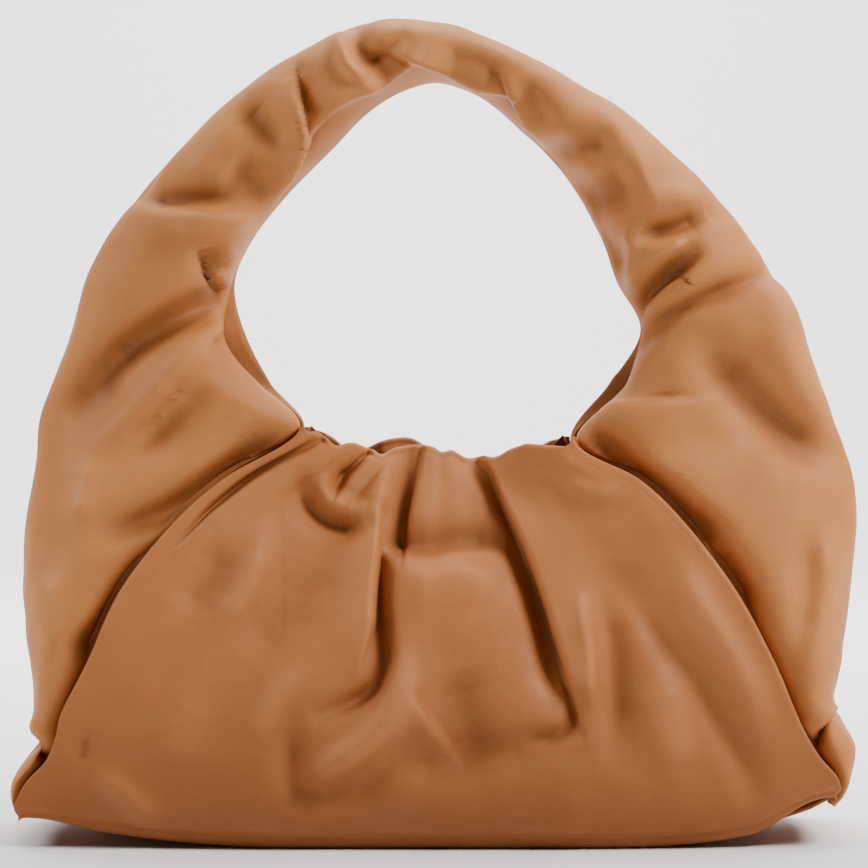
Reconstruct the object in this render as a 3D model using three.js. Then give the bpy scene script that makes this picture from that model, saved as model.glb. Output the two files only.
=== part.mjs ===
import * as THREE from "three";

// Overall sizes in millimetres
const bagWidth = 410;
const bagHeight = 392;
const sideDepth = 130;
const wall = 2;

// Fits and edges in millimetres
const seamGap = 0.5;
const joinGap = 0.6;
const edgeRoll = 5;
const edgeFlange = 7;
const panelLip = 3;
const footRoll = 3.2;
const footFlange = 1.5;
const tubeFlange = 1.5;
const wrapRadius = 11;
const rimRoll = 3.8;
const rimReturn = 12;
const cornerStep = 0.6;
const baseGap = 1;
const baseTuck = 5.5;
const baseEndTaper = 2;

// Shares of the strap's width and depth
const tubeTurn = 0.42;

// Mesh counts: rows up each side, rows over the top of the strap
const sideRows = 18;
const overRows = 24;

// Mouth: half depth of the rim in the middle of the opening
const mouthDepth = 18;

const halfWidth = bagWidth / 2;
const halfSide = sideDepth / 2;

// Sections of the band from the left foot over the top to the right foot.
// outX and inX are shares of half the width, outZ and inZ of the height, depth of half the side depth.
// closed is 0 for an open channel and 1 for a tube.
const bandRows = [
  { outX: -0.95, outZ: 0.026, inX: -0.928, inZ: 0.036, depth: 0.88, closed: 0 },
  { outX: -0.972, outZ: 0.043, inX: -0.943, inZ: 0.05, depth: 0.92, closed: 0 },
  { outX: -0.984, outZ: 0.069, inX: -0.925, inZ: 0.077, depth: 0.95, closed: 0 },
  { outX: -0.956, outZ: 0.094, inX: -0.878, inZ: 0.105, depth: 0.97, closed: 0 },
  { outX: -0.922, outZ: 0.12, inX: -0.857, inZ: 0.133, depth: 0.97, closed: 0 },
  { outX: -0.93, outZ: 0.151, inX: -0.842, inZ: 0.163, depth: 0.98, closed: 0 },
  { outX: -0.947, outZ: 0.214, inX: -0.785, inZ: 0.222, depth: 0.98, closed: 0 },
  { outX: -0.965, outZ: 0.304, inX: -0.712, inZ: 0.306, depth: 0.92, closed: 0 },
  { outX: -0.963, outZ: 0.385, inX: -0.595, inZ: 0.385, depth: 0.82, closed: 0 },
  { outX: -0.944, outZ: 0.441, inX: -0.478, inZ: 0.439, depth: 0.71, closed: 0 },
  { outX: -0.932, outZ: 0.5, inX: -0.312, inZ: 0.495, depth: 0.61, closed: 0.1 },
  { outX: -0.898, outZ: 0.556, inX: -0.388, inZ: 0.554, depth: 0.56, closed: 0.7 },
  { outX: -0.854, outZ: 0.62, inX: -0.446, inZ: 0.617, depth: 0.57, closed: 1 },
  { outX: -0.815, outZ: 0.686, inX: -0.47, inZ: 0.676, depth: 0.59, closed: 1 },
  { outX: -0.727, outZ: 0.763, inX: -0.425, inZ: 0.732, depth: 0.6, closed: 1 },
  { outX: -0.6, outZ: 0.841, inX: -0.346, inZ: 0.785, depth: 0.59, closed: 1 },
  { outX: -0.444, outZ: 0.918, inX: -0.243, inZ: 0.843, depth: 0.58, closed: 1 },
  { outX: -0.284, outZ: 0.97, inX: -0.143, inZ: 0.892, depth: 0.57, closed: 1 },
  { outX: -0.16, outZ: 0.996, inX: -0.049, inZ: 0.918, depth: 0.56, closed: 1 },
  { outX: 0.018, outZ: 0.995, inX: 0.028, inZ: 0.924, depth: 0.56, closed: 1 },
  { outX: 0.185, outZ: 0.966, inX: 0.13, inZ: 0.9, depth: 0.56, closed: 1 },
  { outX: 0.351, outZ: 0.918, inX: 0.228, inZ: 0.856, depth: 0.57, closed: 1 },
  { outX: 0.527, outZ: 0.853, inX: 0.319, inZ: 0.802, depth: 0.58, closed: 1 },
  { outX: 0.695, outZ: 0.763, inX: 0.389, inZ: 0.74, depth: 0.6, closed: 1 },
  { outX: 0.806, outZ: 0.679, inX: 0.431, inZ: 0.678, depth: 0.59, closed: 1 },
  { outX: 0.864, outZ: 0.61, inX: 0.488, inZ: 0.62, depth: 0.57, closed: 1 },
  { outX: 0.912, outZ: 0.543, inX: 0.42, inZ: 0.556, depth: 0.56, closed: 0.7 },
  { outX: 0.961, outZ: 0.482, inX: 0.327, inZ: 0.483, depth: 0.61, closed: 0.1 },
  { outX: 0.99, outZ: 0.434, inX: 0.473, inZ: 0.436, depth: 0.71, closed: 0 },
  { outX: 0.995, outZ: 0.383, inX: 0.576, inZ: 0.383, depth: 0.82, closed: 0 },
  { outX: 0.98, outZ: 0.304, inX: 0.688, inZ: 0.304, depth: 0.92, closed: 0 },
  { outX: 0.956, outZ: 0.222, inX: 0.771, inZ: 0.222, depth: 0.98, closed: 0 },
  { outX: 0.93, outZ: 0.165, inX: 0.815, inZ: 0.168, depth: 0.98, closed: 0 },
  { outX: 0.958, outZ: 0.14, inX: 0.839, inZ: 0.14, depth: 0.97, closed: 0 },
  { outX: 0.985, outZ: 0.11, inX: 0.873, inZ: 0.11, depth: 0.97, closed: 0 },
  { outX: 0.967, outZ: 0.073, inX: 0.912, inZ: 0.084, depth: 0.95, closed: 0 },
  { outX: 0.946, outZ: 0.052, inX: 0.914, inZ: 0.064, depth: 0.92, closed: 0 },
  { outX: 0.927, outZ: 0.04, inX: 0.898, inZ: 0.051, depth: 0.88, closed: 0 },
];
const leftMouthRow = 10;
const rightMouthRow = 27;

// Height of the rim above the line between the mouth's corners, along the mouth from left to right.
// across is a share of the panel's top edge, rise of the height.
const frontRim = [
  { across: 0, rise: 0 },
  { across: 0.1, rise: -0.008 },
  { across: 0.16, rise: -0.024 },
  { across: 0.25, rise: -0.024 },
  { across: 0.335, rise: -0.034 },
  { across: 0.41, rise: -0.023 },
  { across: 0.49, rise: -0.033 },
  { across: 0.58, rise: -0.022 },
  { across: 0.66, rise: -0.031 },
  { across: 0.76, rise: -0.028 },
  { across: 0.84, rise: -0.015 },
  { across: 0.92, rise: -0.008 },
  { across: 1, rise: 0 },
];

const backRim = [
  { across: 0, rise: 0.004 },
  { across: 0.12, rise: -0.01 },
  { across: 0.24, rise: -0.016 },
  { across: 0.36, rise: -0.006 },
  { across: 0.48, rise: -0.018 },
  { across: 0.62, rise: -0.026 },
  { across: 0.76, rise: -0.03 },
  { across: 0.88, rise: -0.012 },
  { across: 1, rise: 0.004 },
];

// Half depth of the panels on their middle line.
// level is a share of the way from base to rim, depth of half the side depth.
const bulgeRows = [
  { level: 0, depth: 1.03 },
  { level: 0.15, depth: 1.12 },
  { level: 0.35, depth: 1.19 },
  { level: 0.5, depth: 1.18 },
  { level: 0.6, depth: 1.1 },
  { level: 0.7, depth: 0.9 },
  { level: 0.8, depth: 0.66 },
  { level: 0.9, depth: 0.44 },
  { level: 1, depth: mouthDepth / halfSide },
];

// Folds: a curved line from a over b to c in front view, a ridge when lift is above 0 and a valley below.
// ax, bx, cx are shares of half the width, az, bz, cz of the height, reach and lift of the side depth.
// lean moves the steep side: -1 is steep on the left and 1 on the right.
const frontFolds = [
  { ax: -0.29, az: 0.47, bx: -0.46, bz: 0.41, cx: -0.58, cz: 0.34, reach: 0.09, lift: -0.05, lean: 0.4 },
  { ax: -0.14, az: 0.47, bx: -0.2, bz: 0.43, cx: -0.25, cz: 0.425, reach: 0.07, lift: -0.06, lean: 0 },
  { ax: -0.29, az: 0.44, bx: -0.27, bz: 0.395, cx: -0.17, cz: 0.39, reach: 0.07, lift: -0.05, lean: 0 },
  { ax: -0.11, az: 0.46, bx: -0.14, bz: 0.36, cx: -0.16, cz: 0.22, reach: 0.09, lift: 0.05, lean: 0.3 },
  { ax: -0.12, az: 0.34, bx: -0.12, bz: 0.24, cx: -0.31, cz: 0.12, reach: 0.08, lift: -0.05, lean: 0 },
  { ax: -0.07, az: 0.27, bx: -0.1, bz: 0.19, cx: -0.27, cz: 0.1, reach: 0.08, lift: 0.04, lean: 0 },
  { ax: -0.06, az: 0.47, bx: -0.07, bz: 0.42, cx: -0.07, cz: 0.37, reach: 0.06, lift: -0.06, lean: 0 },
  { ax: -0.04, az: 0.39, bx: 0.05, bz: 0.37, cx: 0.17, cz: 0.39, reach: 0.15, lift: -0.06, lean: 0 },
  { ax: -0.08, az: 0.335, bx: 0.02, bz: 0.325, cx: 0.12, cz: 0.335, reach: 0.09, lift: 0.03, lean: 0 },
  { ax: 0.1, az: 0.46, bx: 0.24, bz: 0.36, cx: 0.3, cz: 0.17, reach: 0.09, lift: -0.06, lean: 0.5 },
  { ax: 0.15, az: 0.45, bx: 0.3, bz: 0.35, cx: 0.36, cz: 0.19, reach: 0.1, lift: 0.05, lean: -0.4 },
  { ax: 0.38, az: 0.28, bx: 0.41, bz: 0.22, cx: 0.41, cz: 0.14, reach: 0.12, lift: -0.04, lean: 0 },
  { ax: 0.42, az: 0.32, bx: 0.6, bz: 0.2, cx: 0.73, cz: 0.05, reach: 0.13, lift: -0.04, lean: 0 },
  { ax: 0.3, az: 0.46, bx: 0.5, bz: 0.38, cx: 0.72, cz: 0.22, reach: 0.14, lift: 0.04, lean: 0 },
];
const backFolds = [
  { ax: -0.24, az: 0.47, bx: -0.38, bz: 0.36, cx: -0.56, cz: 0.22, reach: 0.14, lift: -0.05, lean: 0 },
  { ax: -0.12, az: 0.47, bx: -0.18, bz: 0.34, cx: -0.2, cz: 0.18, reach: 0.12, lift: 0.05, lean: 0 },
  { ax: 0.02, az: 0.47, bx: 0.03, bz: 0.36, cx: -0.02, cz: 0.22, reach: 0.13, lift: -0.05, lean: 0 },
  { ax: 0.14, az: 0.47, bx: 0.22, bz: 0.34, cx: 0.26, cz: 0.16, reach: 0.13, lift: 0.05, lean: 0 },
  { ax: 0.24, az: 0.47, bx: 0.42, bz: 0.36, cx: 0.58, cz: 0.2, reach: 0.14, lift: -0.05, lean: 0 },
];

// Dents of the band, seen from the front and from the back
const strapFrontFolds = [
  { ax: -0.68, az: 0.795, bx: -0.52, bz: 0.79, cx: -0.4, cz: 0.795, reach: 0.08, lift: -0.05, lean: 0 },
  { ax: -0.46, az: 0.89, bx: -0.4, bz: 0.905, cx: -0.33, cz: 0.93, reach: 0.09, lift: -0.04, lean: 0 },
  { ax: -0.2, az: 0.96, bx: -0.14, bz: 0.965, cx: -0.09, cz: 0.94, reach: 0.08, lift: -0.04, lean: 0 },
  { ax: -0.55, az: 0.7, bx: -0.51, bz: 0.72, cx: -0.46, cz: 0.7, reach: 0.08, lift: -0.06, lean: 0 },
  { ax: -0.84, az: 0.63, bx: -0.66, bz: 0.63, cx: -0.5, cz: 0.69, reach: 0.1, lift: -0.05, lean: 0 },
  { ax: -0.9, az: 0.54, bx: -0.8, bz: 0.56, cx: -0.72, cz: 0.53, reach: 0.12, lift: -0.05, lean: 0 },
  { ax: -0.78, az: 0.4, bx: -0.66, bz: 0.42, cx: -0.56, cz: 0.45, reach: 0.09, lift: -0.04, lean: 0 },
  { ax: 0.04, az: 0.96, bx: 0.1, bz: 0.95, cx: 0.16, cz: 0.94, reach: 0.08, lift: -0.04, lean: 0 },
  { ax: 0.3, az: 0.83, bx: 0.4, bz: 0.81, cx: 0.46, cz: 0.77, reach: 0.08, lift: -0.05, lean: 0 },
  { ax: 0.52, az: 0.745, bx: 0.58, bz: 0.76, cx: 0.62, cz: 0.75, reach: 0.08, lift: -0.04, lean: 0 },
  { ax: 0.52, az: 0.7, bx: 0.57, bz: 0.66, cx: 0.6, cz: 0.68, reach: 0.09, lift: -0.07, lean: 0 },
  { ax: 0.5, az: 0.61, bx: 0.64, bz: 0.64, cx: 0.78, cz: 0.69, reach: 0.1, lift: -0.05, lean: 0 },
  { ax: 0.76, az: 0.59, bx: 0.84, bz: 0.57, cx: 0.9, cz: 0.5, reach: 0.12, lift: -0.05, lean: 0 },
  { ax: 0.42, az: 0.53, bx: 0.5, bz: 0.525, cx: 0.6, cz: 0.53, reach: 0.08, lift: -0.05, lean: 0 },
];
const strapBackFolds = [
  { ax: -0.66, az: 0.78, bx: -0.52, bz: 0.76, cx: -0.42, cz: 0.79, reach: 0.12, lift: -0.05, lean: 0 },
  { ax: -0.86, az: 0.6, bx: -0.7, bz: 0.62, cx: -0.54, cz: 0.6, reach: 0.12, lift: -0.06, lean: 0 },
  { ax: 0.42, az: 0.78, bx: 0.54, bz: 0.77, cx: 0.66, cz: 0.79, reach: 0.12, lift: -0.05, lean: 0 },
  { ax: 0.52, az: 0.62, bx: 0.68, bz: 0.62, cx: 0.84, cz: 0.6, reach: 0.12, lift: -0.06, lean: 0 },
];

// Lift of the base towards its two ends, as shares of the height, from a share of half the width outwards
const baseLiftLeft = 0.031;
const baseLiftRight = 0.045;
const baseFlatHalf = 0.3;

function blend(a, b, share) {
  return a + (b - a) * share;
}

function smooth(edge0, edge1, value) {
  const share = Math.min(1, Math.max(0, (value - edge0) / (edge1 - edge0)));
  return share * share * (3 - 2 * share);
}

// Smooth curve through evenly numbered rows of a table column
function alongRows(rows, column, place) {
  const last = rows.length - 1;
  const spot = Math.min(last, Math.max(0, place));
  const i = Math.min(last - 1, Math.floor(spot));
  const f = spot - i;
  const p1 = rows[i][column];
  const p2 = rows[i + 1][column];
  const p0 = i > 0 ? rows[i - 1][column] : 2 * p1 - p2;
  const p3 = i < last - 1 ? rows[i + 2][column] : 2 * p2 - p1;
  const a = 2 * p1;
  const b = (p2 - p0) * f;
  const c = (2 * p0 - 5 * p1 + 4 * p2 - p3) * f * f;
  const d = (3 * p1 - p0 - 3 * p2 + p3) * f * f * f;
  return 0.5 * (a + b + c + d);
}

// Smooth curve through rows that give their own places in a key column
function throughRows(rows, key, column, place) {
  let i = 0;
  while (i < rows.length - 2 && place > rows[i + 1][key]) {
    i += 1;
  }
  const span = rows[i + 1][key] - rows[i][key];
  const share = Math.min(1, Math.max(0, (place - rows[i][key]) / span));
  return alongRows(rows, column, i + share);
}

// Ridge or valley height of one fold at a place in front view
function foldHeight(fold, x, z) {
  const steps = 8;
  let best = Infinity;
  let side = 1;
  let along = 0;
  let fromX = fold.ax * halfWidth;
  let fromZ = fold.az * bagHeight;
  for (let k = 1; k <= steps; k += 1) {
    const f = k / steps;
    const toX = halfWidth * bend(fold.ax, fold.bx, fold.cx, f);
    const toZ = bagHeight * bend(fold.az, fold.bz, fold.cz, f);
    const runX = toX - fromX;
    const runZ = toZ - fromZ;
    const offX = x - fromX;
    const offZ = z - fromZ;
    const share = (offX * runX + offZ * runZ) / (runX * runX + runZ * runZ);
    const held = Math.min(1, Math.max(0, share));
    const far = Math.hypot(offX - runX * held, offZ - runZ * held);
    if (far < best) {
      best = far;
      side = Math.sign(runX * offZ - runZ * offX) || 1;
      along = (k - 1 + held) / steps;
    }
    fromX = toX;
    fromZ = toZ;
  }
  const reach = fold.reach * sideDepth * (1 + fold.lean * side) * 0.5;
  const taper = Math.min(1, 0.45 + 2.2 * Math.min(along, 1 - along));
  return fold.lift * sideDepth * taper * Math.exp(-((best / reach) ** 2));
}

// Quadratic bend of three table values
function bend(a, b, c, f) {
  return (1 - f) * (1 - f) * a + 2 * f * (1 - f) * b + f * f * c;
}

function foldSum(folds, x, z) {
  return folds.reduce((sum, fold) => sum + foldHeight(fold, x, z), 0);
}

// Sizes of the band at a place along it, 0 at the left foot and 1 at the right foot
function bandStation(place) {
  const row = place * (bandRows.length - 1);
  const inX = alongRows(bandRows, "inX", row) * halfWidth;
  const inZ = alongRows(bandRows, "inZ", row) * bagHeight;
  const outX = alongRows(bandRows, "outX", row) * halfWidth;
  const outZ = alongRows(bandRows, "outZ", row) * bagHeight;
  const width = Math.hypot(outX - inX, outZ - inZ);
  const closed = Math.min(1, Math.max(0, alongRows(bandRows, "closed", row)));
  const depth = alongRows(bandRows, "depth", row) * halfSide;
  const foot = smooth(0, 3, Math.min(row, bandRows.length - 1 - row));
  const roll = blend(footRoll, edgeRoll, foot);
  const flange = blend(footFlange, edgeFlange, foot);
  return {
    inX,
    inZ,
    upX: (outX - inX) / width,
    upZ: (outZ - inZ) / width,
    width,
    depth,
    roll,
    turn: blend(roll, tubeTurn * width, closed),
    hook: blend(roll, depth - tubeFlange - seamGap / 2, closed),
    flange: blend(flange, tubeFlange, closed),
    panelRoll: blend(footRoll, edgeRoll - 0.5, foot),
    panelFlange: blend(footFlange, edgeFlange, foot),
  };
}

// Point of the band's section in its own plane, across from -1 at the front edge to 1 at the back edge
function bandSection(station, across, inset) {
  const flangeShare = 0.1;
  const hookShare = 0.4;
  const side = across < 0 ? -1 : 1;
  const part = 1 - Math.abs(across);
  const start = seamGap / 2;
  const middle = start + station.turn;
  const inner = station.depth - station.hook;
  if (part < flangeShare) {
    const y = inner - station.flange * (1 - part / flangeShare);
    return { u: start + inset, y: side * y };
  }
  if (part < hookShare) {
    const angle = ((part - flangeShare) / (hookShare - flangeShare)) * Math.PI * 0.5;
    const u = middle - (station.turn - inset) * Math.cos(angle) ** 0.92;
    return { u, y: side * (inner + (station.hook - inset) * Math.sin(angle) ** 0.92) };
  }
  const angle = ((1 - part) / (1 - hookShare)) * Math.PI * 0.5;
  const full = 0.86;
  const u = middle + (station.width - middle - inset) * Math.cos(angle) ** full;
  return { u, y: side * (station.depth - inset) * Math.sin(angle) ** full };
}

function bandPoint(place, across, inset) {
  const station = bandStation(place);
  const at = bandSection(station, across, inset);
  const skin = bandSection(station, across, 0);
  const x = station.inX + station.upX * at.u;
  const z = station.inZ + station.upZ * at.u;
  const skinX = station.inX + station.upX * skin.u;
  const skinZ = station.inZ + station.upZ * skin.u;
  const folds = skin.y < 0 ? strapFrontFolds : strapBackFolds;
  const spread = smooth(0, 0.35, Math.abs(skin.y) / station.depth);
  const edge = smooth(0.02, 0.3, 1 - Math.abs(across));
  const dent = foldSum(folds, skinX, skinZ) * spread * edge;
  return new THREE.Vector3(x, at.y + Math.sign(at.y) * dent, z);
}

// Lift of the base above the ground at a place across the bag
function baseLift(x) {
  const share = Math.max(0, (Math.abs(x) / halfWidth - baseFlatHalf) / (1 - baseFlatHalf));
  const lift = x < 0 ? baseLiftLeft : baseLiftRight;
  return lift * bagHeight * share ** 1.8;
}

// Corner frame of a panel on the seam with the band
function panelCorner(place) {
  const station = bandStation(place);
  const reach = seamGap / 2 + station.panelRoll;
  return {
    station,
    x: station.inX - station.upX * reach,
    z: station.inZ - station.upZ * reach,
    front: station.depth + panelLip,
  };
}

// Point of a panel's rolled side edge: turn 0 is the flange's end, 1 its start and 2 the front of the roll
function panelSide(place, turn, inset) {
  const corner = panelCorner(place);
  const { station } = corner;
  const middle = corner.front - station.panelRoll;
  const radius = station.panelRoll - inset;
  const angle = Math.max(0, turn - 1) * Math.PI * 0.5;
  const u = -seamGap / 2 - station.panelRoll + radius * Math.cos(angle);
  const back = station.panelFlange * Math.max(0, 1 - turn);
  return {
    x: station.inX + station.upX * u,
    z: station.inZ + station.upZ * u,
    depth: middle - back + radius * Math.sin(angle),
    front: Math.sin(angle),
  };
}

// Rows of a panel: wrap from -1 to 0 is the turn under, level from 0 to 1 the face,
// over from 0 to 3 the rim
function panelRow(rows, index) {
  const { wrapRows, faceRows } = rows;
  if (index < wrapRows) {
    return { wrap: index / wrapRows - 1, level: 0, over: 0 };
  }
  if (index <= wrapRows + faceRows) {
    return { wrap: 0, level: (index - wrapRows) / faceRows, over: 0 };
  }
  return { wrap: 0, level: 1, over: index - wrapRows - faceRows };
}

// Rim offset from the top of the face: depth inwards and height, over 2 ends the roll and 3 the return
function rimOffset(over, inset) {
  if (over <= 0) {
    return { inward: 0, rise: 0 };
  }
  const angle = Math.min(1, over / 2) * Math.PI;
  const radius = rimRoll - inset;
  const inward = rimRoll - radius * Math.cos(angle) - inset;
  return { inward, rise: radius * Math.sin(angle) - rimReturn * Math.max(0, over - 2) };
}

function panelPoint(panel, column, row, inset) {
  const leftPlace = (row.level * leftMouthRow) / (bandRows.length - 1);
  const rightPlace = 1 - (row.level * (bandRows.length - 1 - rightMouthRow)) / (bandRows.length - 1);
  const left = panelCorner(leftPlace);
  const right = panelCorner(rightPlace);
  const across = column.across;
  const angle = -row.wrap * Math.PI * 0.5;
  if (column.turn < 2) {
    const place = across < 0.5 ? leftPlace : rightPlace;
    const side = panelSide(place, column.turn, inset);
    const under = (footRoll - inset) * Math.sin(angle);
    const tuck = (footRoll - inset) * (1 - Math.cos(angle)) * side.front;
    const up = row.over * cornerStep;
    return new THREE.Vector3(side.x, panel.side * (side.depth - tuck), side.z - under + up);
  }
  const x = blend(left.x, right.x, across);
  const open = smooth(0, 0.16, across) * smooth(0, 0.16, 1 - across);
  const wrap = blend(footRoll, wrapRadius, open);
  const cornerZ = blend(left.z, right.z, across);
  const ground = (baseLift(x) + wrap) * open;
  const footZ = blend(left.z, right.z, across) * (1 - open) + ground;
  const rim = throughRows(panel.rim, "across", "rise", across) * bagHeight;
  const topShare = row.level * row.level;
  const lowShare = (1 - row.level) ** 2;
  let z = cornerZ + rim * topShare + (footZ - cornerZ) * lowShare;
  const middle = smooth(0, 0.34, across) * smooth(0, 0.34, 1 - across);
  const edge = blend(left.front, right.front, across);
  const depth = throughRows(bulgeRows, "level", "depth", row.level) * halfSide;
  let y = blend(edge, depth, middle) - inset;
  const near = smooth(0, 0.07, across) * smooth(0, 0.07, 1 - across);
  y += foldSum(panel.folds, x, z) * near * smooth(0, 0.12, row.level);
  z -= (wrap - inset) * Math.sin(angle);
  y -= (wrap - inset) * (1 - Math.cos(angle));
  const roll = rimOffset(row.over, inset);
  z += blend(row.over * cornerStep, roll.rise, near);
  y -= roll.inward * near;
  return new THREE.Vector3(x, panel.side * y, z);
}

// Columns of a panel: two for the flange, the roll, the face and the same again on the other side
function panelColumns(faceColumns) {
  const turns = [0, 1, 1.34, 1.67];
  const columns = turns.map((turn) => ({ turn, across: 0 }));
  for (let i = 0; i <= faceColumns; i += 1) {
    columns.push({ turn: 2, across: i / faceColumns });
  }
  turns.reverse().forEach((turn) => columns.push({ turn, across: 1 }));
  return columns;
}

// Closed sheet from an outer and an inner grid of points with the same counts
function sheetGeometry(outer, inner, flip) {
  const rows = outer.length;
  const columns = outer[0].length;
  const points = [...outer.flat(), ...inner.flat()];
  const shift = rows * columns;
  const index = [];
  const quad = (a, b, c, d) => {
    const corners = flip ? [a, c, b, a, d, c] : [a, b, c, a, c, d];
    index.push(...corners);
  };
  for (let i = 0; i < rows - 1; i += 1) {
    for (let j = 0; j < columns - 1; j += 1) {
      const a = i * columns + j;
      const b = a + 1;
      const c = a + columns + 1;
      const d = a + columns;
      quad(a, b, c, d);
      quad(shift + a, shift + d, shift + c, shift + b);
    }
  }
  for (let j = 0; j < columns - 1; j += 1) {
    const end = (rows - 1) * columns + j;
    quad(j, shift + j, shift + j + 1, j + 1);
    quad(end, end + 1, shift + end + 1, shift + end);
  }
  for (let i = 0; i < rows - 1; i += 1) {
    const a = i * columns;
    const b = a + columns - 1;
    quad(a, a + columns, shift + a + columns, shift + a);
    quad(b, shift + b, shift + b + columns, b + columns);
  }
  const geometry = new THREE.BufferGeometry();
  const numbers = points.flatMap((point) => [point.x, point.y, point.z]);
  geometry.setAttribute("position", new THREE.Float32BufferAttribute(numbers, 3));
  geometry.setIndex(index);
  geometry.computeVertexNormals();
  return geometry;
}

// Rows of points from a function of row and column number
function grid(rows, columns, pointAt) {
  const counts = { rows: Array(rows).fill(0), columns: Array(columns).fill(0) };
  return counts.rows.map((_, i) => counts.columns.map((__, j) => pointAt(i, j)));
}

// Part of a row step that half the gap between the band's pieces takes at a row
function joinStep(row) {
  const step = 0.1;
  const last = bandRows.length - 1;
  const here = bandStation(row / last);
  const next = bandStation((row + step) / last);
  return (step * joinGap * 0.5) / Math.hypot(next.inX - here.inX, next.inZ - here.inZ);
}

// Places along one piece of the band between two rows: the sides share theirs with the panels
function bandPlaces(fromRow, toRow, count) {
  const last = bandRows.length - 1;
  const places = Array(count + 1).fill(0).map((_, i) => blend(fromRow, toRow, i / count) / last);
  if (fromRow > 0) {
    places[0] += joinStep(fromRow) / last;
  }
  if (toRow < last) {
    places[count] -= joinStep(toRow) / last;
  }
  return places;
}

// Places across the band, closer together at its edges
function bandAcross() {
  const half = [1, 0.9, 0.8, 0.7, 0.6, 0.46, 0.31, 0.16];
  return [...half.map((share) => -share), 0, ...half.reverse()];
}

function bandGeometry(fromRow, toRow, count) {
  const places = bandPlaces(fromRow, toRow, count);
  const across = bandAcross();
  const pointAt = (inset) => (i, j) => bandPoint(places[i], across[j], inset);
  const outer = grid(places.length, across.length, pointAt(0));
  const inner = grid(places.length, across.length, pointAt(wall));
  return sheetGeometry(outer, inner, true);
}

function panelGeometry(panel) {
  const columns = panelColumns(panel.faceColumns);
  const rows = { wrapRows: 3, faceRows: sideRows };
  const count = rows.wrapRows + rows.faceRows + 4;
  const pointAt = (inset) => (i, j) => panelPoint(panel, columns[j], panelRow(rows, i), inset);
  const outer = grid(count, columns.length, pointAt(0));
  const inner = grid(count, columns.length, pointAt(wall));
  return sheetGeometry(outer, inner, panel.side > 0);
}

// Half depth of the gap that the panels leave under the bag at a share of the way across
function footDepth(across) {
  const open = smooth(0, 0.16, across) * smooth(0, 0.16, 1 - across);
  const middle = smooth(0, 0.34, across) * smooth(0, 0.34, 1 - across);
  const edge = blend(panelCorner(0).front, panelCorner(1).front, across);
  return blend(edge, bulgeRows[0].depth * halfSide, middle) - blend(footRoll, wrapRadius, open);
}

// Base: its long edges lie between the panels and its short edges between the band's feet
function baseGeometry() {
  const rows = 7;
  const left = panelCorner(0);
  const right = panelCorner(1);
  const leftEnd = bandRows[0].outX * halfWidth + wall + baseGap;
  const rightEnd = bandRows[bandRows.length - 1].outX * halfWidth - wall - baseGap;
  const tuckDepth = left.station.depth - baseTuck;
  const columns = [{ x: leftEnd, depth: tuckDepth - baseEndTaper }, { x: left.x, depth: tuckDepth }];
  const count = 24;
  for (let j = 0; j <= count; j += 1) {
    const across = blend(0.03, 0.97, j / count);
    columns.push({ x: blend(left.x, right.x, across), depth: footDepth(across) - baseGap });
  }
  columns.push({ x: right.x, depth: tuckDepth }, { x: rightEnd, depth: tuckDepth - baseEndTaper });
  const pointAt = (height) => (i, j) => {
    const { x, depth } = columns[j];
    return new THREE.Vector3(x, depth * ((2 * i) / (rows - 1) - 1), baseLift(x) + height);
  };
  const under = grid(rows, columns.length, pointAt(0));
  return sheetGeometry(under, grid(rows, columns.length, pointAt(wall)), true);
}

// Smooth leather with a soft sheen in one tint
function leatherMaterial(tint) {
  return new THREE.MeshStandardMaterial({ color: tint, roughness: 0.55, metalness: 0 });
}

function namedPiece(name, geometry, tint) {
  const mesh = new THREE.Mesh(geometry, leatherMaterial(tint));
  mesh.name = name;
  return mesh;
}

// Gathered front of the pouch
function buildFrontPanel() {
  const panel = { side: -1, folds: frontFolds, rim: frontRim, faceColumns: 34 };
  return namedPiece("front_panel", panelGeometry(panel), 0xb8794a);
}

// Back of the pouch
function buildBackPanel() {
  const panel = { side: 1, folds: backFolds, rim: backRim, faceColumns: 16 };
  return namedPiece("back_panel", panelGeometry(panel), 0xb27446);
}

// Side of the pouch under the left end of the strap
function buildLeftSide() {
  return namedPiece("left_side", bandGeometry(0, leftMouthRow, sideRows), 0xbd7f50);
}

function buildRightSide() {
  const last = bandRows.length - 1;
  return namedPiece("right_side", bandGeometry(rightMouthRow, last, sideRows), 0xbd7f50);
}

// Shoulder strap: the band above the mouth, closed to a soft tube
function buildShoulderStrap() {
  const geometry = bandGeometry(leftMouthRow, rightMouthRow, overRows);
  return namedPiece("shoulder_strap", geometry, 0xbd7f50);
}

function buildBasePanel() {
  return namedPiece("base_panel", baseGeometry(), 0x9c6238);
}

const group = new THREE.Group();
group.add(buildFrontPanel(), buildBackPanel());
group.add(buildLeftSide(), buildRightSide(), buildShoulderStrap());
group.add(buildBasePanel());

export default group;
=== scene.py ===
"""Soft leather shoulder bag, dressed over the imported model.

The pouch is a gathered front panel, a back panel and a sole. One wide band is both of its
sides and, closed to a soft tube, its shoulder strap. Every piece is a curved sheet of leather
with an outer and an inner skin, worked out on a grid of rows and columns in millimetres, and
folded by a table of ridges, valleys and pleats that is read in front view.
"""

import logging
import math
from dataclasses import dataclass, field
from enum import Enum

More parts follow.
